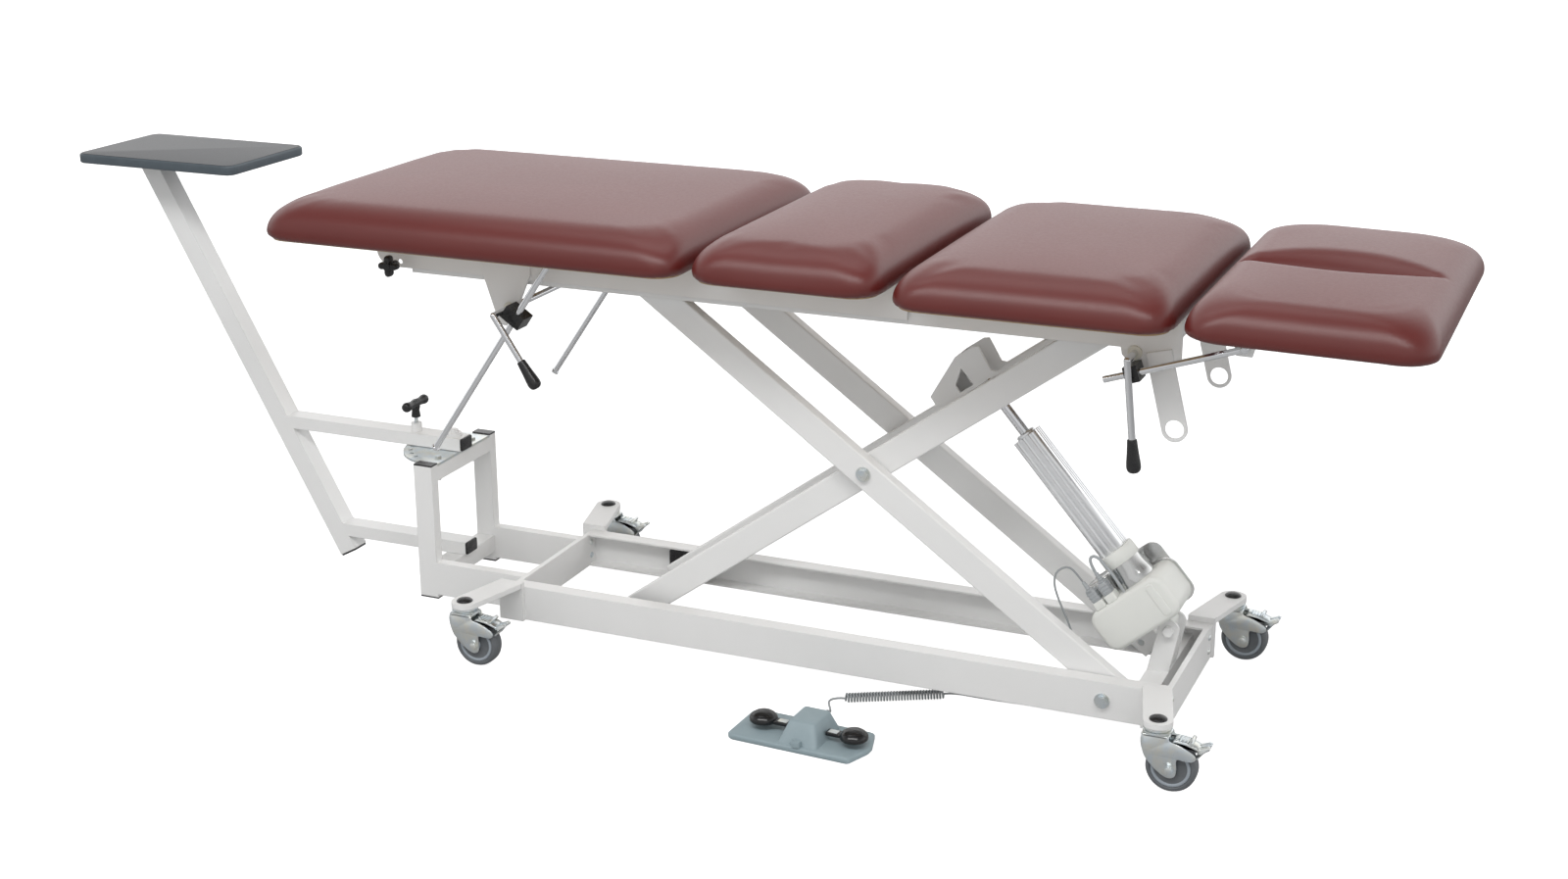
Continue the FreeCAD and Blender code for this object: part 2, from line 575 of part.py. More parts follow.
node("lower_slides", *pair(slide("LowSlide", "slide_low_x", "low_slide_ahead", "base_pivot_z",
                                 "slide_half_high", "inner_leg_back", "inner_leg_face")))
node("upper_slides", *pair(slide("HighSlide", "slide_high_x", "slide_long", "top_pivot_z",
                                 "top_slide_half_high", "outer_leg_back", "outer_leg_face")))

# Actuator: made along its own axis from the tail pin towards the rod eye

sizes(
    actuator_rise=49.02, actuator_long=585.5, profile_start=170.5, profile_end=427.9, profile_deep=50,
    profile_wide=44, rib_deep=2.4, rib_wide=5, rib_pitch=14, wiper_radius=17, wiper_high=6,
    piston_radius=10, piston_from=403, bore_from=278, eye_radius=15, eye_half=12, eye_bolt=6,
    eye_bolt_half=27, collar_radius=35, collar_start=145.5, gear_start=103, gear_radius=36,
    tail_eye_radius=14, tail_eye_half=21.5, box_start=20.5, box_low=-61, box_high=101, box_near=-60, box_far=37,
    box_round=20, box_edge=6, cover_far=52, cover_end=142, cover_inset=3, socket_near=-57, socket_far=-33,
    socket_high=14, socket_one=28, socket_two=54, socket_wide=22, plug_high=26, plug_inset=2,
    boot_radius=5, boot_high=16, loop_radius=2.8, loop_rise=28, cord_radius=2, plug_y=-50, loop_y=-40)
sizes(actuator_turn="=180 + actuator_rise")


def on_actuator(name, *parts):
    return group(name, parts, turn="actuator_turn", x="tail_x", z="tail_z")


profile = block("ProfileBar", ("profile_start", "profile_end"), ("-profile_wide / 2", "profile_wide / 2"),
                ("-profile_deep / 2", "profile_deep / 2"))
grooves = []
for step in (-1, 0, 1):
    grooves += pair(block(f"ProfileGroove{step + 1}", ("profile_start - overrun", "profile_end + overrun"),
                          ("-profile_wide / 2 - overrun", "-profile_wide / 2 + rib_deep"),
                          (f"{step} * rib_pitch - rib_wide / 2", f"{step} * rib_pitch + rib_wide / 2")))
piston_hole = rod("ProfileBore", "piston_radius + seat_gap", ("bore_from", "profile_end + overrun"), "0", "0")
wiper = cut("Wiper", rod("WiperRing", "wiper_radius", ("profile_end", "profile_end + wiper_high"), "0", "0"),
            rod("WiperBore", "piston_radius + seat_gap",
                ("profile_end - overrun", "profile_end + wiper_high + overrun"), "0", "0"))
node("actuator_tube", on_actuator(
    "TubeAtRest", cut("Profile", rounded(profile, "tread_round", "x"), *grooves, piston_hole), wiper))

eye = fuse(
    "RodAndEye",
    rod("PistonRod", "piston_radius", ("piston_from", "actuator_long"), "0", "0"),
    rod("RodEye", "eye_radius", "actuator_long", ("-eye_half", "eye_half"), "0"),
    rod("EyeBolt", "eye_bolt", "actuator_long", ("-eye_bolt_half", "eye_bolt_half"), "0"),
    *pair(hexagon("EyeNut", "eye_bolt * 1.8", "actuator_long",
                  ("-eye_half - bolt_head_high", "-eye_half"), "0")))
node("actuator_rod", on_actuator("RodAtRest", eye))

tail_eye = cut(
    "TailEye",
    fuse("TailEyeBody",
         rod("TailEyeRing", "tail_eye_radius", "0", ("-tail_eye_half", "tail_eye_half"), "0"),
         block("TailNeck", ("0", "box_start"), ("-tail_eye_half", "tail_eye_half"),
               ("-tail_eye_radius", "tail_eye_radius"))),
    rod("TailEyeBore", "tail_pin + running_fit", "0", ("-tail_eye_half - overrun", "tail_eye_half + overrun"),
        "0"))
collar = rod("Collar", "collar_radius", ("collar_start", "profile_start"), "0", "0")
gear_cone = taper("GearCone", "gear_radius", "collar_radius - cover_inset", ("gear_start", "collar_start"),
                  "0", "0")

box_shell = rounded(
    rounded(block("BoxShell", ("box_start", "gear_start"), ("box_near", "box_far"), ("box_low", "box_high")),
            "box_round", "y"),
    "box_edge", "x", lambda middle: middle.y < value("box_near") / 2)
sockets = [rounded(block(f"Socket{number}", ("gear_start", "gear_start + socket_high"),
                         ("socket_near", "socket_far"), (low, f"{low} + socket_wide")),
                   "fillet_small", "x")
           for number, low in ((1, "socket_one"), (2, "socket_two"))]
motor_cover = rounded(
    block("MotorCover", ("box_start + cover_inset", "cover_end"), ("box_far", "cover_far"),
          ("box_low + cover_inset", "box_high - cover_inset")), "box_round", "y")
node("control_box", on_actuator("BoxAtRest", fuse("BoxBody", box_shell, *sockets)))
node("gear_motor", on_actuator("GearAtRest", collar, fuse("GearCastings", gear_cone, tail_eye), motor_cover))


def plug(name, low):
    """A moulded plug pushed on a socket."""
    return rounded(
        block(name, ("gear_start + socket_high", "gear_start + socket_high + plug_high"),
              ("socket_near + plug_inset", "socket_far - plug_inset"),
              (f"{low} + plug_inset", f"{low} + socket_wide - plug_inset")), "fillet_small", "x")


cord_boot = taper("CordBoot", "boot_radius", "cord_radius + plug_inset / 2",
                  ("gear_start + socket_high + plug_high", "gear_start + socket_high + plug_high + boot_high"),
                  "plug_y", "socket_two + socket_wide / 2")
node("cord_plug", on_actuator("CordPlugAtRest", fuse("CordPlug", plug("CordPlugBody", "socket_two"), cord_boot)))


# Cords: a path of straight runs joined by tangent arcs, and the tube along it

ARC_SHARE = 0.45


def bent_path(points):
    """Lines and tangent arcs through a route, and the radius of each arc."""
    edges = []
    radii = []
    here = points[0]
    for before, corner, after in zip(points, points[1:], points[2:]):
        back = before - corner
        ahead = after - corner
        trim = ARC_SHARE * min(back.Length, ahead.Length)
        back.normalize()
        ahead.normalize()
        half_turn = (math.pi - back.getAngle(ahead)) / 2
        radius = trim / math.tan(half_turn)
        bisector = (back + ahead).normalize()
        middle = corner + bisector * (radius / math.cos(half_turn) - radius)
        edges.append(Part.LineSegment(here, corner + back * trim).toShape())
        edges.append(Part.Arc(corner + back * trim, middle, corner + ahead * trim).toShape())
        radii.append(radius)
        here = corner + ahead * trim
    edges.append(Part.LineSegment(here, points[-1]).toShape())
    return Part.Wire(edges), radii


def tube_along(wire, radius):
    """A round tube swept along a smooth wire."""
    start = wire.Edges[0]
    mouth = Part.Wire([Part.makeCircle(radius, start.valueAt(start.FirstParameter),
                                       start.tangentAt(start.FirstParameter))])
    sweep = Part.BRepOffsetAPI.MakePipeShell(wire)
    sweep.add(mouth)
    sweep.build()
    sweep.makeSolid()
    return sweep.shape()


def in_actuator(x, y, z):
    turned = Rotation(AXES["y"], value("actuator_turn")).multVec(Vector(x, y, z))
    return turned + Vector(value("tail_x"), 0, value("tail_z"))


plug_top = value("gear_start + socket_high + plug_high")
loop_from = value("socket_one + socket_wide / 2")
loop_to = loop_from - value("collar_radius") * 0.63
loop_level = value("loop_y")
loop_points = [(plug_top + value("boot_high"), loop_from),
               (plug_top + value("boot_high + loop_rise"), loop_from - value("loop_radius")),
               (plug_top + value("boot_high + loop_rise"), loop_to),
               (plug_top, loop_to - value("loop_radius")),
               (value("gear_start"), loop_to)]
loop_wire, loop_radii = bent_path([Vector(x, loop_level, z) for x, z in loop_points])
loop_cable = made("LoopCable", tube_along(loop_wire, value("loop_radius")))
loop_boot = taper("LoopBoot", "boot_radius + plug_inset / 2", "boot_radius",
                  ("gear_start + socket_high + plug_high", "gear_start + socket_high + plug_high + boot_high"),
                  "loop_y", "socket_one + socket_wide / 2")
node("loop_cable", on_actuator("LoopAtRest", fuse("LoopPlug", plug("LoopPlugBody", "socket_one"), loop_boot),
                               loop_cable))

# Foot switch: a slab with a raised housing, turned a little on the floor

sizes(
    switch_half_long=125, switch_nose=129, slab_high=11, hood_x=12, hood_half=38, hood_top_half=25,
    hood_front=-54, hood_back=50, hood_top_front=-30, hood_top_back=34, hood_high=48, pad_offset=88,
    pad_radius=25.5, pad_low=22, pad_high=8, pad_dome=11, pad_y=-4, arm_pad_wide=18, arm_pad_high=7,
    pad_root=10, gland_radius=4.5, gland_long=9, gland_x=14, gland_z=30)
slab = plate(
    "SwitchSlab", [("-switch_half_long", "-switch_half_width * 0.85"), ("-switch_half_long * 0.93",
                                                                        "-switch_half_width"),
                   ("switch_shoulder", "-switch_half_width"), ("switch_nose", "-switch_half_width * 0.15"),
                   ("switch_nose", "switch_half_width * 0.15"), ("switch_shoulder", "switch_half_width"),
                   ("-switch_half_long * 0.93", "switch_half_width"),
                   ("-switch_half_long", "switch_half_width * 0.85")],
    z=("0", "slab_high"))
hood = frustum("SwitchHood", ("hood_x - hood_half", "hood_x + hood_half"), ("hood_front", "hood_back"),
               ("hood_x - hood_top_half", "hood_x + hood_top_half"), ("hood_top_front", "hood_top_back"),
               ("slab_high", "hood_high"))
gland = rod("SwitchGland", "gland_radius", "gland_x",
            ("hood_back - gland_long", "hood_back + gland_long"), "gland_z")


def pad(name, side):
    """A domed treadle on its arm; side is 1 towards the head end."""
    centre = f"hood_x + {side} * pad_offset"
    root = f"hood_x + {side} * (hood_top_half + pad_root)"
    span = (root, centre) if side > 0 else (centre, root)
    return fuse(name,
                rod(name + "Disc", "pad_radius", centre, "pad_y", ("pad_low", "pad_low + pad_high")),
                dome(name + "Dome", "pad_radius", "pad_dome", centre, "pad_y", "pad_low + pad_high"),
                block(name + "Arm", span, ("pad_y - arm_pad_wide / 2", "pad_y + arm_pad_wide / 2"),
                      ("pad_low", "pad_low + arm_pad_high")))


def pad_pocket(name, side):
    """Room in the housing for the arm's root."""
    inner = f"hood_x + {side} * (hood_top_half + pad_root - seat_gap)"
    outer = f"hood_x + {side} * pad_offset"
    span = (inner, outer) if side > 0 else (outer, inner)
    return block(name, span, ("pad_y - arm_pad_wide / 2 - seat_gap", "pad_y + arm_pad_wide / 2 + seat_gap"),
                 ("pad_low - arm_pad_high", "pad_low + arm_pad_high + overrun"))


def on_floor(name, *parts):
    return group(name, parts, turn="-switch_turn", about="z", x="switch_x", y="switch_y")


hood_cut = cut("HoodCut", hood, pad_pocket("PocketLeft", -1), pad_pocket("PocketRight", 1))
node("foot_switch", on_floor("SwitchAtRest", fuse("SwitchBody", slab, hood_cut, gland)))
node("pad_left", on_floor("PadLeftAtRest", pad("PadLeft", -1)))
node("pad_right", on_floor("PadRightAtRest", pad("PadRight", 1)))


def on_switch(x, y, z):
    turned = Rotation(AXES["z"], -value("switch_turn")).multVec(Vector(x, y, z))
    return turned + Vector(value("switch_x"), value("switch_y"), 0)


# Foot cord: straight-run stretches and a curly stretch as one unbroken tube

sizes(coil_radius=7.5, coil_turns=34, coil_z=10, coil_lead_share=0.75)
gland_mouth = on_switch(value("gland_x"), value("hood_back + gland_long"), value("gland_z"))
COIL_FROM = Vector(-52, -192, 0)
COIL_TO = Vector(119, -102, 0)
coil_axis = (COIL_TO - COIL_FROM).normalize()
coil_rise = Vector(0, 0, value("coil_z"))
switch_side_route = [on_switch(value("gland_x"), value("hood_back + gland_long * 2"), value("gland_z")),
                     Vector(-46, -262, 12), Vector(-60, -232, 6), Vector(-74, -207, 7),
                     COIL_FROM + coil_rise - coil_axis * 12]
box_side_route = [COIL_TO + coil_rise + coil_axis * 20, Vector(172, -84, 5), Vector(232, -79, 4),
                  Vector(300, -76, 4), Vector(352, -74, 4), Vector(388, -72, 16), Vector(391, -71, 58),
                  Vector(372, -71, 92), Vector(350, -71, 128), Vector(338, -71, 168), Vector(319, -71, 206),
                  Vector(304, -71, 243), Vector(306, -66, 268), Vector(326, -54, 277)]
plug_mouth = in_actuator(value("gear_start + socket_high + plug_high + boot_high"), value("plug_y"),
                         value("socket_two + socket_wide / 2"))
plug_lead = in_actuator(value("gear_start + socket_high + plug_high + boot_high * 2"), value("plug_y"),
                        value("socket_two + socket_wide / 2"))
near_stretch, near_radii = bent_path([gland_mouth] + switch_side_route + [COIL_FROM + coil_rise])
far_stretch, far_radii = bent_path([COIL_TO + coil_rise] + box_side_route + [plug_lead, plug_mouth])
for title, radii in (("switch side", near_radii), ("box side", far_radii), ("loop", loop_radii)):
    print("cord", title, "radii", [round(radius, 1) for radius in radii])
print("cord lengths", round(near_stretch.Length, 1), round(far_stretch.Length, 1))
cord_radius = value("cord_radius")
node("foot_cord", made("CordNear", tube_along(near_stretch, cord_radius)),
     made("CordFar", tube_along(far_stretch, cord_radius)))


def coil_place(turns):
    """Centre of the curly cord after a number of turns, led in and out from its axis."""
    total = value("coil_turns")
    lead = value("coil_lead_share")
    stub = 2 * value("cord_radius")
    length = (COIL_TO - COIL_FROM).Length - 2 * stub
    inside = min(turns, total - turns)
    swell = 1 if inside > lead else math.sin(math.pi / 2 * inside / lead) ** 2
    sideways = coil_axis.cross(Vector(0, 0, 1))
    angle = 2 * math.pi * turns
    around = Vector(0, 0, math.cos(angle)) + sideways * math.sin(angle)
    return COIL_FROM + coil_rise + coil_axis * (stub + length * turns / total) + \
        around * (value("coil_radius") * swell)


def biarc(start, start_way, end, end_way):
    """Two arcs that leave and arrive along given directions and meet smoothly."""
    chord = end - start
    ways = start_way + end_way
    bend = 2 * (1 - start_way.dot(end_way))
    along = chord.dot(ways)
    reach = (math.sqrt(along * along + bend * chord.dot(chord)) - along) / bend
    first = start + start_way * reach
    last = end - end_way * reach
    joint = (first + last) / 2
    edges = []
    for near, knee, ahead in ((start, first, joint), (joint, last, end)):
        middle = (near + ahead) / 2
        half = (ahead - near).Length / 2
        sag = half * math.tan(math.acos(min(1, half / reach)) / 2)
        edges.append(Part.Arc(near, middle + (knee - middle).normalize() * sag, ahead).toShape())
    return edges


def coil_wire():
    steps = int(value("coil_turns")) * 4
    small = 1 / 4096
    places = []
    for step in range(steps + 1):
        turns = step / 4
        before = coil_place(max(turns - small, 0))
        after = coil_place(min(turns + small, value("coil_turns")))
        places.append((coil_place(turns), (after - before).normalize()))
    places[0] = (places[0][0], coil_axis)
    places[-1] = (places[-1][0], coil_axis)
    edges = [Part.LineSegment(COIL_FROM + coil_rise, places[0][0]).toShape()]
    for (start, start_way), (end, end_way) in zip(places, places[1:]):
        edges += biarc(start, start_way, end, end_way)
    edges.append(Part.LineSegment(places[-1][0], COIL_TO + coil_rise).toShape())
    return Part.Wire(edges)


coil_pitch = (COIL_TO - COIL_FROM).Length / value("coil_turns")
samples = [coil_place(turn / 24) for turn in range(24 * int(value("coil_turns")))]
least_gap = min((samples[index] - samples[other]).Length
                for index in range(len(samples)) for other in range(index + 16, min(index + 40, len(samples))))
print("curly cord pitch", round(coil_pitch, 2), "least gap to itself", round(least_gap - 2 * cord_radius, 2))
node("foot_cord_coil", made("CoilTube", tube_along(coil_wire(), cord_radius)))

# Top frame: C rails like the base, with crossbars, head side plates and pivot bolts

sizes(
    top_left=-940, top_right=430, top_bottom=721.6, top_depth=66.1, side_plate=4,
    side_plate_a_x=432.6, side_plate_a_z=735.8, side_plate_b_z=709.3, side_plate_c_x=465.2,
    side_plate_c_z=675.5, side_plate_d_x=532.6, side_plate_d_z=703.2, side_plate_e_z=787.7,
    head_shaft_x=454.9, head_shaft_z=714.4, shaft_radius=6, bush_radius=12, top_tie=40)
sizes(
    top_top="=top_bottom + top_depth", top_end_left="=top_left + crossbar",
    side_inner="=rail_half - side_plate")
top_channel = cut(
    "TopRail", channel("TopChannel", ("top_left", "top_right"), "top_bottom", "top_top"),
    rod("TopPivotHole", "pivot_radius", "top_pivot_x", ("-rail_half - overrun", "-rail_web + overrun"),
        "top_pivot_z"))
side_blank = plate(
    "HeadSidePlate", [("top_right - overrun", "side_plate_a_z"), ("side_plate_a_x", "side_plate_b_z"),
                      ("side_plate_c_x", "side_plate_c_z"), ("side_plate_d_x", "side_plate_d_z"),
                      ("side_plate_d_x", "side_plate_e_z"), ("top_right - overrun", "side_plate_e_z")],
    y=("-rail_half", "-side_inner"))
side_panel = cut("SidePanel", side_blank,
                 rod("HeadBushHole", "bush_radius", "head_shaft_x",
                     ("-rail_half - overrun", "-side_inner + overrun"), "head_shaft_z"))
top_frame = fuse(
    "TopWeldment", *pair(top_channel), *pair(side_panel),
    block("TopFootBar", ("top_left", "top_end_left"), ("-rail_web", "rail_web"), ("top_bottom", "top_top")),
    block("HeadTie", ("side_plate_d_x - crossbar", "side_plate_d_x"), ("-side_inner", "side_inner"),
          ("side_plate_e_z - top_tie", "side_plate_e_z")))
node("top_frame", top_frame)

top_bolt = fuse(
    "TopBolt",
    rod("TopShank", "pivot_radius", "top_pivot_x", ("-rail_half - washer_thick", "-inner_leg_back"),
        "top_pivot_z"),
    rod("TopSpacer", "spacer_radius", "top_pivot_x", ("-rail_web", "-inner_leg_face - seat_gap"),
        "top_pivot_z"),
    hexagon("TopHead", "bolt_head", "top_pivot_x",
            ("-rail_half - washer_thick", "-rail_half"), "top_pivot_z"))

sizes(
    hang_top_x=503.8, hang_top_z=686.5, hang_hole_x=528, hang_hole_z=591, hang_half=22, hang_thick=4,
    hang_hole=16, hang_rise=104.2)
sizes(hang_reach="=(hang_top_z + hang_half * 1.6 - hang_hole_z) / sin(hang_rise)")
hang_bar = group(
    "HangBarSlant",
    [block("HangBar", ("0", "hang_reach"), ("-rail_half - hang_thick", "-rail_half"),
           ("-hang_half", "hang_half"))],
    turn="-hang_rise", x="hang_hole_x", z="hang_hole_z")
hanger = cut(
    "Hanger",
    fuse("HangerBody", hang_bar,
         rod("HangerEnd", "hang_half", "hang_hole_x", ("-rail_half - hang_thick", "-rail_half"),
             "hang_hole_z")),
    rod("HangerHole", "hang_hole", "hang_hole_x",
        ("-rail_half - hang_thick - overrun", "-rail_half + overrun"), "hang_hole_z"))
node("accessory_plates", *pair(hanger))


# Boards and cushions

sizes(
    board_thick=9, board_inset=16, board_round=42, rim_round=50, plan_round=55, foot_round=12,
    crown=7, leg_left=-1171, leg_right=-305, pelvic_left=-297, pelvic_right=60, chest_left=68,
    chest_right=552, head_left=4, seat_low=799, seat_high=879, chest_low=788, chest_high=866)
sizes(
    head_low="=chest_low - head_hinge_z", head_high="=chest_high - head_hinge_z",
    head_board_low="=chest_low - head_hinge_z", slot_left=579, slot_right=926, slot_half=43)


END_SHARES = (0, 0.1, 0.32, 0.62, 1)
TIP_SHARE = 0.03
MIDDLE_SHARES = (0.3, 0.7)
FLAT_CROWN_SHARE = 0.02


def arc_height(radius, inward):
    """How high a quarter circle has risen, a distance in from where it stands upright."""
    left = max(radius - inward, 0)
    return math.sqrt(radius * radius - left * left)


def cushion_section(x, inward, low, high, rise):
    """A cross-section: level foot, small lower rounding, wide upper rounding and a crowned top."""
    plan = value("plan_round")
    foot = value("foot_round")
    rim = value("rim_round")
    flat = value("cushion_half") - plan
    side = flat + arc_height(plan, inward)
    foot_high = arc_height(foot, inward)
    foot_wide = min(foot, (side - flat) / 2)
    rim_high = arc_height(rim, inward)
    corner = math.sqrt(0.5)
    under = [Vector(x, side - foot_wide, low + foot - foot_high),
             Vector(x, side - foot_wide * (1 - corner), low + foot - foot_high * corner),
             Vector(x, side, low + foot)]
    over = [Vector(x, side, high - rim),
            Vector(x, flat + (side - flat) * corner, high - rim + rim_high * corner),
            Vector(x, flat, high - rim + rim_high)]
    twin_under = [Vector(point.x, -point.y, point.z) for point in under]
    twin_over = [Vector(point.x, -point.y, point.z) for point in over]
    crest = Vector(x, 0, over[-1].z + rise)
    return Part.Wire([
        Part.LineSegment(twin_under[0], under[0]).toShape(),
        Part.Arc(*under).toShape(),
        Part.LineSegment(under[-1], over[0]).toShape(),
        Part.Arc(*over).toShape(),
        Part.Arc(over[-1], crest, twin_over[-1]).toShape(),
        Part.Arc(twin_over[-1], twin_over[1], twin_over[0]).toShape(),
        Part.LineSegment(twin_over[0], twin_under[-1]).toShape(),
        Part.Arc(twin_under[-1], twin_under[1], twin_under[0]).toShape()])


def cushion_shape(left, right, low, high):
    """A cushion lofted end to end, level at its foot."""
    plan = value("plan_round")
    crown = value("crown")
    inward = [plan * share for share in END_SHARES]
    core = [left + plan + (right - left - 2 * plan) * share for share in MIDDLE_SHARES]
    stations = [left + step for step in inward] + core + [right - step for step in reversed(inward)]
    sections = []
    for x in stations:
        step = max(min(x - left, right - x), plan * TIP_SHARE)
        middle_share = (2 * x - left - right) / (right - left)
        rise = crown * max(1 - middle_share ** 2, FLAT_CROWN_SHARE)
        sections.append(cushion_section(x, step, low, high - crown, rise))
    return Part.makeLoft(sections, True, True)


def board(name, left, right, low):
    """A plywood base, let into the foot of its cushion."""
    return rounded(
        block(name, (f"{left} + board_inset", f"{right} - board_inset"),
              ("-cushion_half + board_inset", "cushion_half - board_inset"), (low, f"{low} + board_thick")),
        "board_round", "z")


def cushion(name, left, right, low, high, base, *cuts):
    """A soft solid that takes its board in a recess from below."""
    soft = made(name + "Soft", cushion_shape(value(left), value(right), value(low), value(high)))
    recess = rounded(
        block(name + "Recess", (f"{left} + board_inset", f"{right} - board_inset"),
              ("-cushion_half + board_inset", "cushion_half - board_inset"),
              (f"{low} - overrun", f"{low} + board_thick")), "board_round", "z")
    return cut(name, soft, recess, *cuts)


chest_board = board("ChestBoard", "chest_left", "chest_right", "chest_low")
node("thoracic_board", chest_board)
node("thoracic_cushion", cushion("ChestCushion", "chest_left", "chest_right", "chest_low", "chest_high",
                                 chest_board))

pelvic_board = board("PelvicBoard", "pelvic_left", "pelvic_right", "seat_low")
node("pelvic_board", pelvic_board)
node("pelvic_cushion", cushion("PelvicCushion", "pelvic_left", "pelvic_right", "seat_low", "seat_high",
                               pelvic_board))

sizes(prop_y=210, prop_radius=6, leg_lift_gap=0.3)
leg_board = board("LegBoard", "leg_left", "leg_right", "seat_low + leg_lift_gap")
node("leg_board", leg_board)
leg_soft = made("LegSoft", cushion_shape(value("leg_left"), value("leg_right"),
                                         value("seat_low + leg_lift_gap"), value("seat_high")))
leg_recess = rounded(
    block("LegRecess", ("leg_left + board_inset", "leg_right - board_inset"),
          ("-cushion_half + board_inset", "cushion_half - board_inset"),
          ("seat_low - overrun", "seat_low + leg_lift_gap + board_thick")), "board_round", "z")
node("leg_cushion", cut("LegCushion", leg_soft, leg_recess))

# Head section: made level in a frame at its hinge, then dropped to its rest angle

sizes(slot_cut_x="=slot_left - head_hinge_x", slot_end_x="=slot_right - head_hinge_x")


def lens(name, low, high, spread):
    """The breathing slot: two arcs that meet in points, pushed up through the head end."""
    left = value("slot_cut_x")
    right = value("slot_end_x")
    middle = (left + right) / 2
    half = value("slot_half") + spread
    level = value(low)
    outline = Part.Wire([
        Part.Arc(Vector(left, 0, level), Vector(middle, half, level), Vector(right, 0, level)).toShape(),
        Part.Arc(Vector(right, 0, level), Vector(middle, -half, level), Vector(left, 0, level)).toShape()])
    return made(name, Part.Face(outline).extrude(Vector(0, 0, value(high) - level)))


def at_head(name, *parts):
    return group(name, parts, turn="head_rest_drop", x="head_hinge_x", z="head_hinge_z")


sizes(ball_x=640, ball_z=748, head_rod_y=200, head_rod_rise=18.43, head_rod_long=240, head_rod_radius=5.75,
      ball_radius=8, ear_thick=5, ear_half=13, ear_gap=8.3)
head_base = board("HeadBoardBlank", "head_left", "head_far", "head_board_low")
head_board = cut("HeadBoard", head_base, lens("HeadBoardSlot", "head_low - overrun", "head_high", 0))
head_soft = made("HeadSoft", cushion_shape(value("head_left"), value("head_far"), value("head_low"),
                                           value("head_high")))
head_recess = rounded(
    block("HeadRecess", ("head_left + board_inset", "head_far - board_inset"),
          ("-cushion_half + board_inset", "cushion_half - board_inset"),
          ("head_low - overrun", "head_low + board_thick")), "board_round", "z")
head_cushion = cut("HeadCushion", head_soft, head_recess,
                   lens("HeadSlot", "head_low - overrun", "head_high + overrun", 0))
sizes(ear_x="=ball_x - head_hinge_x", ear_z="=ball_z - head_hinge_z")
ear = plate("HeadEar", [("ear_x - ear_half * 2", "head_board_low"), ("ear_x - ear_half", "ear_z - ear_half"),
                        ("ear_x + ear_half", "ear_z - ear_half"), ("ear_x + ear_half * 2", "head_board_low")],
            y=("-head_rod_y + ear_gap", "-head_rod_y + ear_gap + ear_thick"))
node("head_board", at_head("HeadBoardAtRest", head_board, *pair(ear)))
node("head_cushion", at_head("HeadCushionAtRest", head_cushion))

head_rod = fuse(
    "HeadRod",
    strut("HeadRodBar", "head_rod_radius", "ball_x", "-head_rod_y", "ball_z", "180 + head_rod_rise",
          "head_rod_long"),
    ball("HeadRodBall", "ball_radius", "ball_x", "-head_rod_y", "ball_z"))
node("head_rods", *pair(head_rod))

sizes(clamp_x=460, clamp_z=688, clamp_half_long=12, clamp_half_high=14, clamp_near=211, bar_clear=0.3)
clamp_bore = strut("HeadClampBore", "head_rod_radius + bar_clear", "ball_x", "-head_rod_y", "ball_z",
                   "180 + head_rod_rise", "head_rod_long * 1.2")
head_clamp = cut(
    "HeadClamp",
    group("HeadClampSlant",
          [block("HeadClampBody", ("-clamp_half_long", "clamp_half_long"), ("-clamp_near", "-rail_half - hang_thick"),
                 ("-clamp_half_high", "clamp_half_high"))],
          turn="-head_rod_rise", x="clamp_x", z="clamp_z"),
    clamp_bore,
    rod("HeadClampShaftBore", "shaft_radius + bar_clear", "head_shaft_x",
        ("-clamp_near - overrun", "-rail_half + overrun"), "head_shaft_z"))
node("head_clamps", *pair(head_clamp))

bush = cut("HeadBush",
           rod("HeadBushBody", "bush_radius", "head_shaft_x", ("-rail_half - hang_thick + seat_gap", "-side_inner"),
               "head_shaft_z"),
           rod("HeadBushBore", "shaft_radius + running_fit", "head_shaft_x",
               ("-rail_half - hang_thick - overrun", "-side_inner + overrun"), "head_shaft_z"))
node("top_bolts_and_bushes", *pair(top_bolt), *pair(bush))

# Levers: a cross shaft, a bent bar in front of the table and a tapered grip

sizes(
    shaft_far=198, head_lever_y=219, head_lever_rise=-83.9, head_lever_long=134, grip_long=46,
    grip_thin=8, grip_thick=12.5, foot_lever_y=240, foot_shaft_x=-724.3, foot_shaft_z=675.7,
    foot_lever_rise=-56.1, foot_lever_long=97)


def grip(name, x, y, z, rise):
    """A black handle that widens to a round end."""
    body = taper(name + "Body", "grip_thin", "grip_thick", ("0", "grip_long"), "0", "0")
    bore = rod(name + "Bore", "shaft_radius", ("-overrun", "grip_long / 2"), "0", "0")
    end = ball(name + "End", "grip_thick", "grip_long", "0", "0")
    return group(name, [cut(name + "Cut", fuse(name + "Solid", body, end), bore)],
                 turn=f"-({rise})", x=x, y=y, z=z)


sizes(
    head_grip_x="=head_shaft_x + head_lever_long * cos(head_lever_rise)",
    head_grip_z="=head_shaft_z + head_lever_long * sin(head_lever_rise)",
    foot_grip_x="=foot_shaft_x + foot_lever_long * cos(foot_lever_rise)",
    foot_grip_z="=foot_shaft_z + foot_lever_long * sin(foot_lever_rise)")
head_lever = fuse(
    "HeadLever",
    rod("HeadShaft", "shaft_radius", "head_shaft_x", ("-head_lever_y", "shaft_far"), "head_shaft_z"),
    ball("HeadElbow", "shaft_radius", "head_shaft_x", "-head_lever_y", "head_shaft_z"),
    strut("HeadLeverBar", "shaft_radius", "head_shaft_x", "-head_lever_y", "head_shaft_z",
          "head_lever_rise", "head_lever_long + grip_long / 2"))
node("head_lever", head_lever)
node("head_grip", grip("HeadGrip", "head_grip_x", "-head_lever_y", "head_grip_z", "head_lever_rise"))
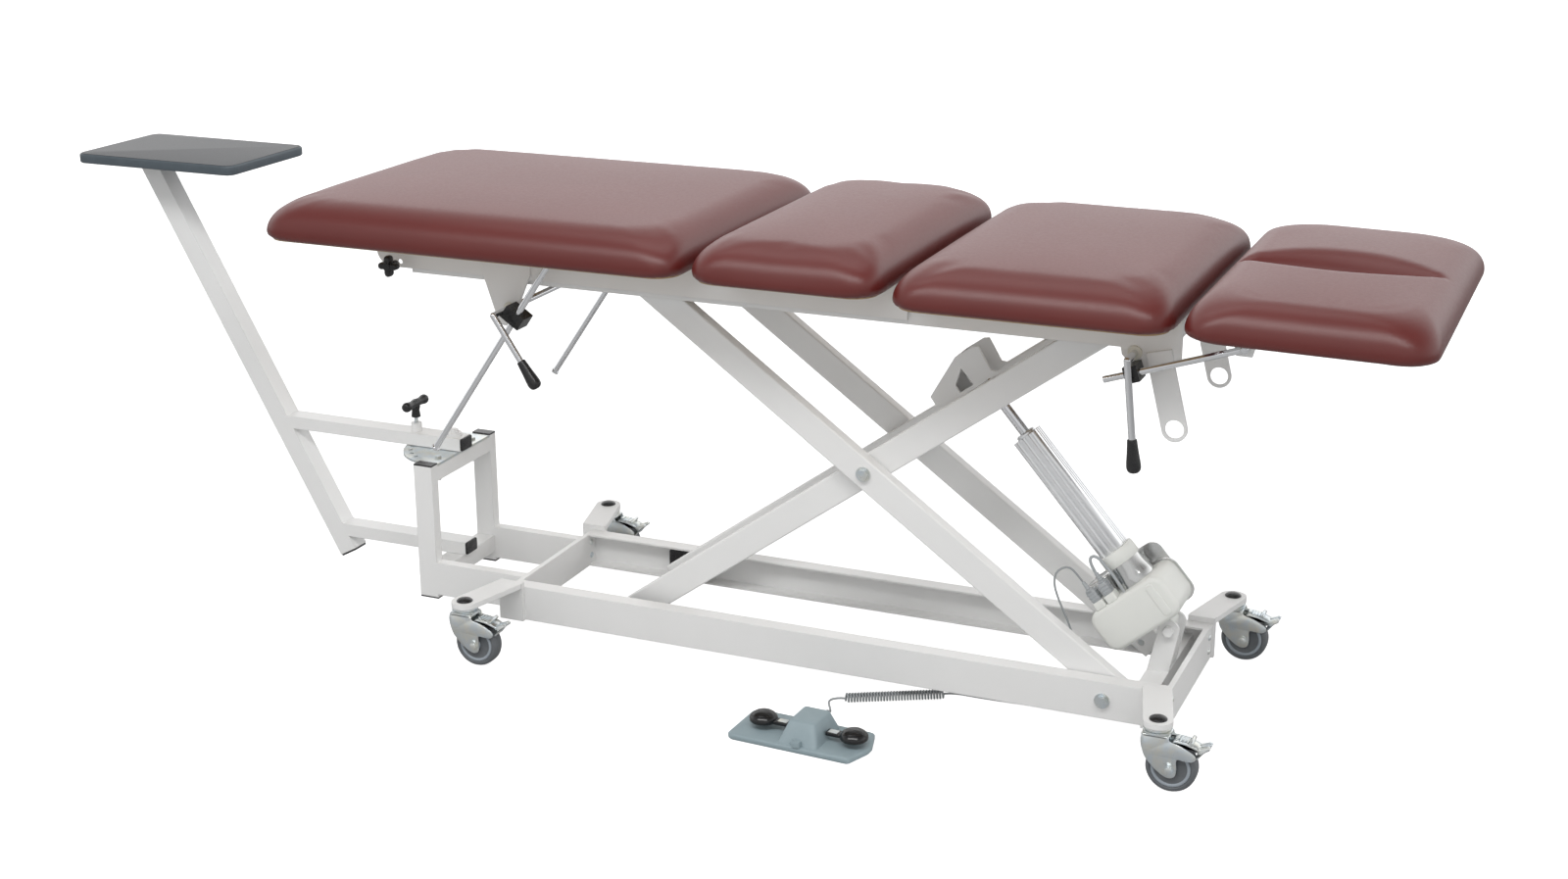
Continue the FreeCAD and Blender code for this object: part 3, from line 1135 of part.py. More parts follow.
foot_lever = fuse(
    "FootLever",
    rod("FootShaft", "shaft_radius", "foot_shaft_x", ("-foot_lever_y", "shaft_far"), "foot_shaft_z"),
    ball("FootElbow", "shaft_radius", "foot_shaft_x", "-foot_lever_y", "foot_shaft_z"),
    strut("FootLeverBar", "shaft_radius", "foot_shaft_x", "-foot_lever_y", "foot_shaft_z",
          "foot_lever_rise", "foot_lever_long + grip_long / 2"))
node("foot_lever", foot_lever)
node("foot_grip", grip("FootGrip", "foot_grip_x", "-foot_lever_y", "foot_grip_z", "foot_lever_rise"))

# Carriage: two side plates with a flange over the rails, strut brackets and glide pads

sizes(
    carriage_left=-1011, carriage_right=58, carriage_plate=4, carriage_near=172, carriage_low=731,
    carriage_flange=45, carriage_round=32, strut_left_x=-781, strut_right_x=-678, strut_foot_right=-714,
    strut_foot_left=-753.6, strut_high_z=743.2, strut_low_z=661, glide_pad_long=60, glide_pad_wide=25,
    glide_pad_left=-900, glide_pad_right=-60)
sizes(
    carriage_outer="=carriage_near + carriage_plate", carriage_lip="=carriage_outer - carriage_flange",
    strut_outer="=carriage_outer + carriage_plate", flange_low="=seat_low - carriage_plate")
carriage_side = rounded(
    block("CarriageSide", ("carriage_left", "carriage_right"), ("-carriage_outer", "-carriage_near"),
          ("carriage_low", "seat_low")), "carriage_round", "y",
    lambda middle: middle.x < value("carriage_left") / 2 and middle.z < value("flange_low"))
carriage_top = block("CarriageFlange", ("carriage_left + carriage_round / 2", "carriage_right"),
                     ("-carriage_outer", "-carriage_lip"), ("flange_low", "seat_low"))
strut_plate = plate(
    "StrutPlate", [("strut_left_x", "strut_high_z"), ("strut_foot_left", "strut_low_z"),
                   ("strut_foot_right", "strut_low_z"), ("strut_right_x", "strut_high_z"),
                   ("strut_right_x", "seat_low - overrun"), ("strut_left_x", "seat_low - overrun")],
    y=("-strut_outer", "-carriage_outer"))
strut_round = rod("StrutRound", "(strut_foot_right - strut_foot_left) / 2",
                  "(strut_foot_right + strut_foot_left) / 2", ("-strut_outer", "-carriage_outer"),
                  "strut_low_z")
foot_bore = rod("FootBushHole", "bush_radius", "foot_shaft_x",
                ("-strut_outer - overrun", "-carriage_near + overrun"), "foot_shaft_z")
sizes(knob_x=-960.5, knob_z=742, knob_y=215, knob_core=12, knob_lobe=7, knob_lobe_circle=15, knob_half=8,
      knob_shaft=5, knob_inner=150, knob_neck=9)
knob_hole = rod("KnobHole", "knob_shaft + running_fit", "knob_x",
                ("-strut_outer - overrun", "-carriage_near + overrun"), "knob_z")
carriage_cross = [
    block("CarriageCross" + end, (x, f"{x} + crossbar"), ("-carriage_lip", "carriage_lip"),
          ("flange_low", "seat_low"))
    for end, x in (("Foot", "carriage_left + carriage_round"), ("Head", "carriage_right - crossbar"))]
carriage = fuse(
    "CarriageWeldment",
    *pair(cut("CarriageSideCut", fuse("CarriageSideBody", carriage_side, carriage_top, strut_plate,
                                      strut_round), foot_bore, knob_hole)),
    *carriage_cross)
node("carriage_frame", carriage)

foot_bush = cut("FootBush",
                rod("FootBushBody", "bush_radius", "foot_shaft_x", ("-strut_outer + seat_gap", "-carriage_near"),
                    "foot_shaft_z"),
                rod("FootBushBore", "shaft_radius + running_fit", "foot_shaft_x",
                    ("-strut_outer - overrun", "-carriage_near + overrun"), "foot_shaft_z"))
pads = []
for end, x in (("Foot", "glide_pad_left"), ("Head", "glide_pad_right")):
    pads += pair(block("GlidePad" + end, (x, f"{x} + glide_pad_long"),
                       ("-rail_half", "-rail_half + glide_pad_wide"), ("top_top + seat_gap", "flange_low")))
node("glide_pads", *pair(foot_bush), *pads)

# Star knob that locks the glide

knob_lobes = [
    rod(f"KnobLobe{number}", "knob_lobe", f"knob_x + knob_lobe_circle * cos({number} * 90)",
        ("-knob_y - knob_half", "-knob_y + knob_half"), f"knob_z + knob_lobe_circle * sin({number} * 90)")
    for number in range(4)]
knob = fuse(
    "Knob",
    rod("KnobCore", "knob_core", "knob_x", ("-knob_y - knob_half", "-knob_y + knob_half"), "knob_z"),
    rod("KnobNeck", "knob_neck", "knob_x", ("-knob_y", "-strut_outer - knob_neck"), "knob_z"),
    rod("KnobShaft", "knob_shaft", "knob_x", ("-knob_y", "-knob_inner"), "knob_z"), *knob_lobes)
node("glide_knob", knob)

# Foot props: rods that slide through clamps on the strut brackets

sizes(
    prop_rise=55.7, prop_low_x=-883.5, prop_low_z=390.7, prop_long=487, prop_far_short=51, prop_flange=8,
    prop_flange_high=4, foot_clamp_x=-696, foot_clamp_half=13, foot_clamp_drop=17, foot_clamp_reach=25,
    foot_clamp_near=217)
sizes(
    prop_far_x="=prop_low_x + prop_far_short * cos(prop_rise)",
    prop_far_z="=prop_low_z + prop_far_short * sin(prop_rise)",
    prop_top_x="=prop_low_x + prop_long * cos(prop_rise)",
    prop_top_z="=prop_low_z + prop_long * sin(prop_rise)",
    foot_clamp_z="=prop_low_z + (foot_clamp_x - prop_low_x) * sin(prop_rise) / cos(prop_rise)")
near_prop = fuse(
    "NearProp",
    strut("NearPropBar", "prop_radius", "prop_low_x", "-prop_y", "prop_low_z", "prop_rise", "prop_long"),
    strut("NearPropFlange", "prop_flange", "prop_low_x", "-prop_y", "prop_low_z", "prop_rise",
          "prop_flange_high"))
far_prop = fuse(
    "FarProp",
    strut("FarPropBar", "prop_radius", "prop_far_x", "prop_y", "prop_far_z", "prop_rise",
          "prop_long - prop_far_short"),
    strut("FarPropFlange", "prop_flange", "prop_far_x", "prop_y", "prop_far_z", "prop_rise",
          "prop_flange_high"))
node("foot_rods", near_prop, far_prop)

prop_bore = strut("PropBore", "prop_radius + bar_clear", "prop_low_x", "-prop_y", "prop_low_z", "prop_rise",
                  "prop_long * 1.2")
foot_clamp = cut(
    "FootClamp",
    group("FootClampSlant",
          [block("FootClampBody", ("-foot_clamp_half", "foot_clamp_half"),
                 ("-foot_clamp_near", "-strut_outer"),
                 ("-foot_clamp_drop", "foot_clamp_reach"))],
          turn="-prop_rise", x="foot_clamp_x", z="foot_clamp_z"),
    prop_bore,
    rod("FootClampShaftBore", "shaft_radius + bar_clear", "foot_shaft_x",
        ("-foot_clamp_near - overrun", "-carriage_outer"), "foot_shaft_z"))
node("foot_clamps", *pair(foot_clamp))

# Traction stand: one slanted tube, two arms that swivel on the posts, and the shelf

sizes(
    stand_tube=41, stand_rise=61.7, stand_on_x=-1651.5, stand_on_z=833.5, stand_foot_z=60,
    stand_arm_high=26, upper_arm_low=316.8, lower_arm_low=95, arm_end_x=-948, stand_cap=4,
    shelf_long=380, shelf_wide=252, shelf_thick=20, shelf_top=884, shelf_round=18, swivel_head=14,
    plunger_boss=11, plunger_boss_high=17, plunger_pin=4, plunger_tip=318.5, plunger_drop=11.5,
    plunger_stem=8, plunger_bar=8.5, plunger_bar_half=39, plunger_bar_z=400)
sizes(
    upper_arm_high="=upper_arm_low + stand_arm_high", lower_arm_high="=lower_arm_low + stand_arm_high",
    shelf_low="=shelf_top - shelf_thick", stand_half="=stand_tube / 2",
    stand_down="=(stand_on_z - stand_foot_z) / sin(stand_rise)",
    upper_join="=stand_on_x + (stand_on_z - upper_arm_low) * cos(stand_rise) / sin(stand_rise)",
    lower_join="=stand_on_x + (stand_on_z - lower_arm_low) * cos(stand_rise) / sin(stand_rise)",
    plunger_x="=swivel_x - index_circle",
    stem_bottom="=upper_arm_high + plunger_boss_high + seat_gap + plunger_drop")
slanted_tube = group(
    "StandTubeSlant",
    [block("StandTubeBar", ("-stand_tube * 2", "stand_down"), ("-stand_half", "stand_half"),
           ("-stand_half", "stand_half"))],
    turn="stand_rise", x="stand_on_x", z="stand_on_z")
above_shelf = block("AboveShelf", ("shelf_left - overrun", "upper_join"), ("-stand_tube", "stand_tube"),
                    ("shelf_low", "shelf_top + stand_tube * 3"))
stand_arms = [
    block("UpperArm", ("upper_join", "arm_end_x"), ("-stand_half", "stand_half"),
          ("upper_arm_low", "upper_arm_high")),
    block("LowerArm", ("lower_join", "arm_end_x"), ("-stand_half", "stand_half"),
          ("lower_arm_low", "lower_arm_high"))]
swivel_pins = [
    rod("UpperSwivelPin", "swivel_radius", "swivel_x", "0",
        ("cross_top - cross_depth", "upper_arm_high + swivel_head")),
    rod("LowerSwivelPin", "swivel_radius", "swivel_x", "0", ("low_cross_bottom", "lower_arm_high")),
    rod("SwivelBoss", "boss_radius", "swivel_x", "0", ("upper_arm_high", "upper_arm_high + swivel_head / 2"))]
plunger_socket = rod("PlungerSocket", "plunger_boss", "plunger_x", "0",
                     ("upper_arm_high", "upper_arm_high + plunger_boss_high"))
plunger_bore = rod("PlungerBore", "plunger_pin + running_fit", "plunger_x", "0",
                   ("upper_arm_low - overrun", "upper_arm_high + plunger_boss_high + overrun"))
stand = cut("Stand", fuse("StandBody", cut("StandTubeCut", slanted_tube, above_shelf), *stand_arms,
                          *swivel_pins, plunger_socket), plunger_bore)
node("stand_frame", stand)
shelf = rounded(
    block("ShelfBoard", ("shelf_left", "shelf_left + shelf_long"), ("-shelf_wide / 2", "shelf_wide / 2"),
          ("shelf_low", "shelf_top")), "shelf_round", "z")
foot_cap = group(
    "FootCapSlant",
    [block("FootCap", ("stand_down", "stand_down + stand_cap"), ("-stand_half", "stand_half"),
           ("-stand_half", "stand_half"))],
    turn="stand_rise", x="stand_on_x", z="stand_on_z")
arm_ends = [
    block("ArmEnd" + level, ("arm_end_x", "arm_end_x + stand_cap"), ("-stand_half", "stand_half"),
          (f"{level}_arm_low", f"{level}_arm_high")) for level in ("upper", "lower")]
node("stand_shelf_and_caps", shelf, foot_cap, *arm_ends)
plunger = fuse(
    "Plunger",
    rod("PlungerPin", "plunger_pin", "plunger_x", "0",
        ("plunger_tip", "stem_bottom + plunger_stem")),
    rod("PlungerStem", "plunger_stem", "plunger_x", "0", ("stem_bottom", "plunger_bar_z")),
    rod("PlungerBar", "plunger_bar", "plunger_x", ("-plunger_bar_half", "plunger_bar_half"), "plunger_bar_z"))
node("t_handle", plunger)

# Check every object, then write one file for each node

doc.recompute()
failed = [item.Label for item in doc.Objects
          if {"Invalid", "Error"} & set(item.State)
          or (hasattr(item, "Shape") and item.TypeId != "Sketcher::SketchObject"
              and (item.Shape.isNull() or not item.Shape.isValid()))]
if failed:
    raise RuntimeError("these did not build: " + ", ".join(failed))
os.makedirs("parts", exist_ok=True)
for holder in nodes:
    holder.Shape.exportStep(f"parts/{holder.Label}.step")
print(len(nodes), "nodes,", sum(len(holder.Shape.Solids) for holder in nodes), "solids,",
      sum(holder.Shape.Volume for holder in nodes) / 1e6, "litres")
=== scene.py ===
"""Looks of the hi-lo treatment table: its CAD parts dressed, and soft and moulded pieces made anew."""

import math

import bmesh
import bpy
import numpy as np
from mathutils import Euler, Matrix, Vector


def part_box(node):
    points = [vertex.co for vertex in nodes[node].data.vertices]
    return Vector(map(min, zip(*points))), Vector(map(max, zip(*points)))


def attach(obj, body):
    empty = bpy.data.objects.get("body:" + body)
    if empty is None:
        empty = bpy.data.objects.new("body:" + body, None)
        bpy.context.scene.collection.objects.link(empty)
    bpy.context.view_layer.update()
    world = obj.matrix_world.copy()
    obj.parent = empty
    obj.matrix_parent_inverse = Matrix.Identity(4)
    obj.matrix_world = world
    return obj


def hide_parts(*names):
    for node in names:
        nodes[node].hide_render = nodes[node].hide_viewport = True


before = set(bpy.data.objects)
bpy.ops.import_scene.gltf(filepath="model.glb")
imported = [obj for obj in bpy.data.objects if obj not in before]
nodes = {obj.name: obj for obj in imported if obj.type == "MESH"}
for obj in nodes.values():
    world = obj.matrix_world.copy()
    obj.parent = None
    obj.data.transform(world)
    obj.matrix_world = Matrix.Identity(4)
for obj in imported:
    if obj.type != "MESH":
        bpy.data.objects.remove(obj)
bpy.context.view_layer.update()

# The photographer's place: a long lens in front of the table's head half, looking down a little.
# The table's own frame, with y = 0 in its middle plane, is found again from the middle of a board.
CAMERA = (1279.2, -3558.0, 1690.5)
LOOK_DOWN, LOOK_LEFT, LEAN, LENS = 18.1033, 23.2359, -0.207, 49.701
BOARD_MIDDLE = (-118.5, 0, 0)


def middle(node):
    """The middle of a CAD node's box: half the sum of its two corners."""
    low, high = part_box(node)
    return (low + high) / 2


ORIGIN = np.array([middle("pelvic_board").x, middle("pelvic_board").y, 0]) - np.array(BOARD_MIDDLE) / 1000


def at(*places):
    """Points in millimetres in the table's own frame, given as metres in the row frame."""
    return np.asarray(places, float) / 1000 + ORIGIN


camera = bpy.data.objects.new("Camera", bpy.data.cameras.new("Camera"))
bpy.context.scene.collection.objects.link(camera)
camera.location = at(CAMERA)[0]
turned_camera = (Euler((0, 0, math.radians(LOOK_LEFT))).to_matrix()
                 @ Euler((math.radians(90 - LOOK_DOWN), 0, 0)).to_matrix()
                 @ Euler((0, 0, math.radians(LEAN))).to_matrix())
camera.rotation_euler = turned_camera.to_euler()
camera.data.lens = LENS
camera.data.clip_end = 60
bpy.context.scene.camera = camera

# Foot cord: a soft grey two-core cord, wound as a tight spring for part of its way, from the
# foot switch up to its plug on the control box.
CORD_THICK = 0.004
COIL_ENDS = at((-52, -192, 10), (119, -102, 10))
COIL_TURNS, COIL_RADIUS, COIL_STUB, COIL_LEAD = 34, 0.0075, 0.004, 0.75
TURN_POINTS = 12
SWITCH_SIDE = at((-42.9, -299, 30), (-42.5, -290, 30), (-46, -262, 12), (-60, -232, 6), (-74, -207, 7),
                 (-62.6, -197.6, 10))
BOX_SIDE = at((136.7, -92.7, 10), (172, -84, 5), (232, -79, 4), (300, -76, 4), (352, -74, 4),
              (388, -72, 16), (391, -71, 58), (372, -71, 92), (350, -71, 128), (338, -71, 168),
              (319, -71, 206), (304, -71, 243), (306, -66, 268), (326, -54, 277), (342.1, -50, 259.5),
              (352.6, -50, 247.4))


def winding():
    """Points of the spring: a helix about the line between its ends, its radius led in and out."""
    along = COIL_ENDS[1] - COIL_ENDS[0]
    reach = np.linalg.norm(along)
    along = along / reach
    sideways = np.cross(along, (0, 0, 1))
    turns = np.arange(COIL_TURNS * TURN_POINTS + 1)[:, None] / TURN_POINTS
    inside = np.clip(np.minimum(turns, COIL_TURNS - turns) / COIL_LEAD, 0, 1)
    swell = COIL_RADIUS * np.sin(np.pi / 2 * inside) ** 2
    angle = 2 * np.pi * turns
    middle_line = COIL_ENDS[0] + along * (COIL_STUB + (reach - 2 * COIL_STUB) * turns / COIL_TURNS)
    helix = middle_line + swell * (np.cos(angle) * np.array((0, 0, 1)) + np.sin(angle) * sideways)
    return helix[inside[:, 0] > 0.3]


def cable(name, points, thick, sides=3, steps=4):
    """A round cable on a smooth spline that has the points as its control points."""
    curve = bpy.data.curves.new(name, "CURVE")
    curve.dimensions = "3D"
    spline = curve.splines.new("NURBS")
    spline.points.add(len(points) - 1)
    spline.points.foreach_set("co", np.c_[points, np.ones(len(points))].ravel())
    spline.order_u = 3
    spline.use_endpoint_u = True
    spline.resolution_u = steps
    spline.points.foreach_set("radius", np.full(len(points), thick / 2))
    curve.bevel_depth = 1.0
    curve.bevel_resolution = sides
    curve.use_fill_caps = True
    made = bpy.data.objects.new(name, curve)
    bpy.context.scene.collection.objects.link(made)
    return made


foot_cord = cable("curly_foot_cord", np.vstack([SWITCH_SIDE, winding(), BOX_SIDE]), CORD_THICK, 2, 3)
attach(foot_cord, "base")
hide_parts("foot_cord", "foot_cord_coil")


class Tone:
    """A shader socket whose arithmetic adds Math nodes to its finish."""

    def __init__(self, finish, socket):
        self.finish, self.socket = finish, socket

    def _math(self, operation, *terms):
        return self.finish.node("Math", {"operation": operation}, dict(enumerate(terms)))

    def __add__(self, other): return self._math("ADD", self, other)
    def __sub__(self, other): return self._math("SUBTRACT", self, other)
    def __rsub__(self, other): return self._math("SUBTRACT", other, self)
    def __mul__(self, other): return self._math("MULTIPLY", self, other)
    __radd__, __rmul__ = __add__, __mul__

    def clipped(self, low, high):
        """0 below low and 1 above high, even in between."""
        return self.finish.node("MapRange", {"clamp": True}, {0: self, 1: low, 2: high})


class Finish:
    """A material built from one principled shader, or a studio's surroundings."""

    def __init__(self, name, **settings):
        self.material = bpy.data.materials.new(name)
        self.material.use_nodes = True
        self.tree = self.material.node_tree
        self.shader = self.tree.nodes["Principled BSDF"]
        self.place = self.node("TexCoord", output="Object")
        self.set(**settings)

    def node(self, kind, settings=None, inputs=None, output=0):
        """Adds a node: its settings first, then the values or links of its sockets."""
        made = self.tree.nodes.new("ShaderNode" + kind)
        for name, setting in (settings or {}).items():
            setattr(made, name, setting)
        for name, given in (inputs or {}).items():
            if isinstance(given, Tone):
                self.tree.links.new(given.socket, made.inputs[name])
            else:
                made.inputs[name].default_value = given
        return Tone(self, made.outputs[output])

    def set(self, **settings):
        """Gives the principled shader's sockets a value, a colour or a link."""
        for name, given in settings.items():
            socket = self.shader.inputs[name.replace("_", " ").title().replace("Ior", "IOR")]
            if isinstance(given, Tone):
                self.tree.links.new(given.socket, socket)
            else:
                socket.default_value = (*given, 1) if isinstance(given, tuple) else given
        return self

    def spots(self, size, stretch):
        """The object's own places, in units of a given size in metres, stretched along axes."""
        scale = tuple(1 / (size * share) for share in stretch)
        return self.node("Mapping", None, {"Vector": self.place, "Scale": scale})

    def noise(self, size, detail=2, roughness=0.5, stretch=(1, 1, 1)):
        """Soft random values with grains of a given size in metres, stretched along axes."""
        return self.node("TexNoise", None, {"Vector": self.spots(size, stretch), "Scale": 1.0,
                                            "Detail": detail, "Roughness": roughness})

    def cells(self, size, stretch=(1, 1, 1)):
        """Distances to the nearest of scattered points, a given size in metres apart."""
        return self.node("TexVoronoi", {"feature": "F1"}, {"Vector": self.spots(size, stretch), "Scale": 1.0})

    def mix(self, share, first, second):
        """A colour between two, by a share from 0 to 1."""
        inputs = {0: share, 6: (*first, 1) if isinstance(first, tuple) else first,
                  7: (*second, 1) if isinstance(second, tuple) else second}
        return self.node("Mix", {"data_type": "RGBA"}, inputs, 2)

    def edged(self, radius, height, depth):
        """Rounds sharp edges in the shading, with a fine relief on top."""
        edge = self.node("Bevel", {"samples": 4}, {"Radius": radius})
        raised = {"Strength": 1.0, "Distance": depth, "Height": height, "Normal": edge}
        return self.set(normal=self.node("Bump", None, raised))

    def relief(self, height, depth, strength=1.0):
        """Raises the surface by a height from 0 to 1 times a depth in metres."""
        raised = {"Strength": strength, "Distance": depth, "Height": height}
        return self.set(normal=self.node("Bump", None, raised))


def dress(finish, *names):
    """Gives CAD nodes a finish."""
    for name in names:
        mesh = nodes[name].data
        mesh.materials.clear()
        mesh.materials.append(finish.material)


cord_grey = Finish("grey_cord_jacket", roughness=0.5)
cord_grey.set(base_color=cord_grey.mix(cord_grey.noise(0.006), (0.27, 0.29, 0.30), (0.34, 0.36, 0.37)),
              roughness=0.42 + 0.15 * cord_grey.noise(0.002))
cord_grey.relief(cord_grey.noise(0.0007, 1), 0.00004)
foot_cord.data.materials.append(cord_grey.material)

# Welded frames: sheet-steel channels and tubes under a warm off-white powder coat, with the fine
# ripple that baked powder has and a little duller where hands and cloths have rubbed it.
coat = Finish("white_powder_coat", roughness=0.36, specular_ior_level=0.5)
patch = coat.noise(0.12, 3)
coat.set(base_color=coat.mix(patch, (0.81, 0.81, 0.80), (0.855, 0.855, 0.85)),
         roughness=0.33 + 0.10 * patch)
coat.edged(0.0022, coat.noise(0.0016, 1), 0.00006)
dress(coat, "base_frame", "caster_arms", "stand_post_frame", "tail_bracket", "outer_leg_frame",
      "inner_leg_frame", "top_frame", "accessory_plates", "carriage_frame", "stand_frame", "head_board")

# Fixings: bolts and index plate in bright zinc, a cool plate with a faint yellow cast,
# and chromed or ground bars that run through them.
zinc = Finish("bright_zinc", metallic=1.0, roughness=0.3)
cast = zinc.noise(0.02, 3)
zinc.set(base_color=zinc.mix(cast.clipped(0.35, 0.75), (0.66, 0.72, 0.76), (0.76, 0.75, 0.68)),
         roughness=0.22 + 0.18 * zinc.noise(0.004, 2))
zinc.edged(0.0006, zinc.noise(0.0008, 2), 0.00003)
dress(zinc, "quadrant_plate", "base_bolts", "mid_pivot_bolts")
chrome = Finish("chromed_bar", base_color=(0.74, 0.75, 0.77), metallic=1.0, roughness=0.1)
chrome.set(roughness=0.07 + 0.09 * chrome.noise(0.006, 3))
dress(chrome, "head_rods", "foot_rods", "head_lever", "foot_lever", "actuator_rod")

# Black mouldings: caps on posts and caster arms and the slide blocks, in glass-filled nylon.
black = Finish("black_moulded_plastic", base_color=(0.012, 0.012, 0.013), roughness=0.3)
black.set(base_color=black.mix(black.noise(0.02, 3), (0.009, 0.009, 0.010), (0.017, 0.017, 0.018)),
          roughness=0.20 + 0.18 * black.noise(0.003, 2))
black.edged(0.001, black.noise(0.0006, 1), 0.00002)
dress(black, "base_caps", "lower_slides", "upper_slides", "foot_clamps", "head_clamps")

# Bushes and glide pads: natural nylon, a milky cream, turned from bar and pressed into the frames,
# where they carry the sliding carriage and the pivots at the top.
nylon = Finish("white_nylon", base_color=(0.72, 0.70, 0.62), roughness=0.45)
nylon.set(base_color=nylon.mix(nylon.noise(0.03), (0.70, 0.68, 0.58), (0.76, 0.74, 0.66)),
          roughness=0.4 + 0.1 * nylon.noise(0.01))
dress(nylon, "glide_pads", "top_bolts_and_bushes")


def eased(points, size, closed=True, steps=4):
    """A polyline with each corner cut back by a size and replaced by a parabola through the cuts."""
    points = np.asarray(points, float)
    before, after = np.roll(points, 1, 0), np.roll(points, -1, 0)
    back, ahead = before - points, after - points
    far_back = np.linalg.norm(back, axis=1, keepdims=True)
    far_ahead = np.linalg.norm(ahead, axis=1, keepdims=True)
    trim = np.minimum(size, 0.48 * np.minimum(far_back, far_ahead))
    start, end = points + back / far_back * trim, points + ahead / far_ahead * trim
    share = np.linspace(0, 1, steps)[None, :, None]
    bends = (start[:, None] * (1 - share) ** 2 + points[:, None] * 2 * share * (1 - share)
             + end[:, None] * share ** 2)
    if closed:
        return bends.reshape(-1, points.shape[1])
    return np.vstack([points[:1], bends[1:-1].reshape(-1, points.shape[1]), points[-1:]])


def rounded_plan(half_x, half_y, radius, count=64):
    """Points round a rectangle with quarter-circle corners, evenly spaced."""
    quarter = np.linspace(0, np.pi / 2, 12)
    corners = []
    for turn, (sx, sy) in enumerate(((1, 1), (-1, 1), (-1, -1), (1, -1))):
        angle = quarter + turn * np.pi / 2
        corners.append(np.c_[sx * (half_x - radius) + radius * np.cos(angle),
                             sy * (half_y - radius) + radius * np.sin(angle)])
    loop = np.vstack(corners + [corners[0][:1]])
    gone = np.r_[0, np.cumsum(np.linalg.norm(np.diff(loop, axis=0), axis=1))]
    spots = np.linspace(0, gone[-1], count, endpoint=False)
    return np.c_[np.interp(spots, gone, loop[:, 0]), np.interp(spots, gone, loop[:, 1])]


def turned(profile, place, axis, sides=40):
    """Rings round an axis through a place: each profile pair is a radius and a way along it."""
    axis = np.array(axis, float) / np.linalg.norm(axis)
    side = np.cross(axis, (0, 0, 1) if abs(axis[2]) < 0.9 else (1, 0, 0))
    side /= np.linalg.norm(side)
    angle = np.arange(sides) * 2 * np.pi / sides
    ring = np.cos(angle)[:, None] * side + np.sin(angle)[:, None] * np.cross(axis, side)
    profile = np.asarray(profile, float)
    return np.array(place, float) + profile[:, :1, None] * ring + profile[:, 1:, None] * axis


def moulded(low, high, corner, edge=1.0, up=2, count=64):
    """Rings of a block between two corners: round-cornered plans stacked along an axis, drawn in
    by a quarter circle at both rims."""
    low, high = np.array(low, float), np.array(high, float)
    across, along = [axis for axis in range(3) if axis != up]
    centre, half = (low + high) / 2, (high - low) / 2
    quarter = np.linspace(0, np.pi / 2, 5)
    steps = ([(edge * (1 - np.sin(q)), low[up] + edge * (1 - np.cos(q))) for q in quarter]
             + [(edge * (1 - np.cos(q)), high[up] - edge * (1 - np.sin(q))) for q in quarter])
    rings = np.empty((len(steps), count, 3))
    for ring, (inset, level) in zip(rings, steps):
        plan = rounded_plan(half[across] - inset, half[along] - inset, max(corner - inset, 0.2), count)
        ring[:, across] = plan[:, 0] + centre[across]
        ring[:, along] = plan[:, 1] + centre[along]
        ring[:, up] = level
    return rings


def pressed(outline, low, high, edge=0.8, across=1):
    """Rings of a plate with an outline, from a low to a high level across it, its rims drawn in."""
    outline = np.asarray(outline, float)
    way = np.roll(outline, -1, 0) - np.roll(outline, 1, 0)
    area = np.sum(outline[:, 0] * np.roll(outline[:, 1], -1) - outline[:, 1] * np.roll(outline[:, 0], -1))
    outward = np.c_[way[:, 1], -way[:, 0]] / np.linalg.norm(way, axis=1, keepdims=True) * np.sign(area)
    first, second = [axis for axis in range(3) if axis != across]
    rings = np.empty((4, len(outline), 3))
    for ring, (inset, level) in zip(rings, ((edge, low), (0, low + edge), (0, high - edge), (edge, high))):
        spots = outline - outward * inset
        ring[:, first], ring[:, second], ring[:, across] = spots[:, 0], spots[:, 1], level
    return rings


def skin(name, finish, *surfaces, body=None, slot=None, stands_for=(), place=None):
    """One piece from surfaces: each joins its rings of points to their neighbours and closes the
    ends; the places are millimetres in the table's frame, or in a part's own by a place function."""
    points, faces, count = [], [], 0
    for rings in surfaces:
        spots = rings.reshape(-1, 3)
        points.append(at(*(place(spots) if place else spots)))
        rows, around = rings.shape[:2]
        row, column = np.meshgrid(np.arange(rows - 1), np.arange(around), indexing="ij")
        beside = (column + 1) % around
        faces += (np.stack([row * around + column, row * around + beside, (row + 1) * around + beside,
                            (row + 1) * around + column], -1).reshape(-1, 4) + count).tolist()
        faces.append((np.arange(around)[::-1] + count).tolist())
        faces.append((np.arange(around) + (rows - 1) * around + count).tolist())
        count += rows * around
    mesh = bpy.data.meshes.new(name)
    mesh.from_pydata(np.vstack(points).tolist(), [], faces)
    shape = bmesh.new()
    shape.from_mesh(mesh)
    bmesh.ops.remove_doubles(shape, verts=shape.verts, dist=2e-6)
    bmesh.ops.recalc_face_normals(shape, faces=shape.faces)
    shape.to_mesh(mesh)
    shape.free()
    mesh.shade_smooth()
    mesh.set_sharp_from_angle(angle=math.radians(48))
    made = bpy.data.objects.new(name, mesh)
    bpy.context.scene.collection.objects.link(made)
    mesh.materials.append(finish.material)
    if body:
        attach(made, body)
    if stands_for:
        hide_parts(*stands_for)
    return made


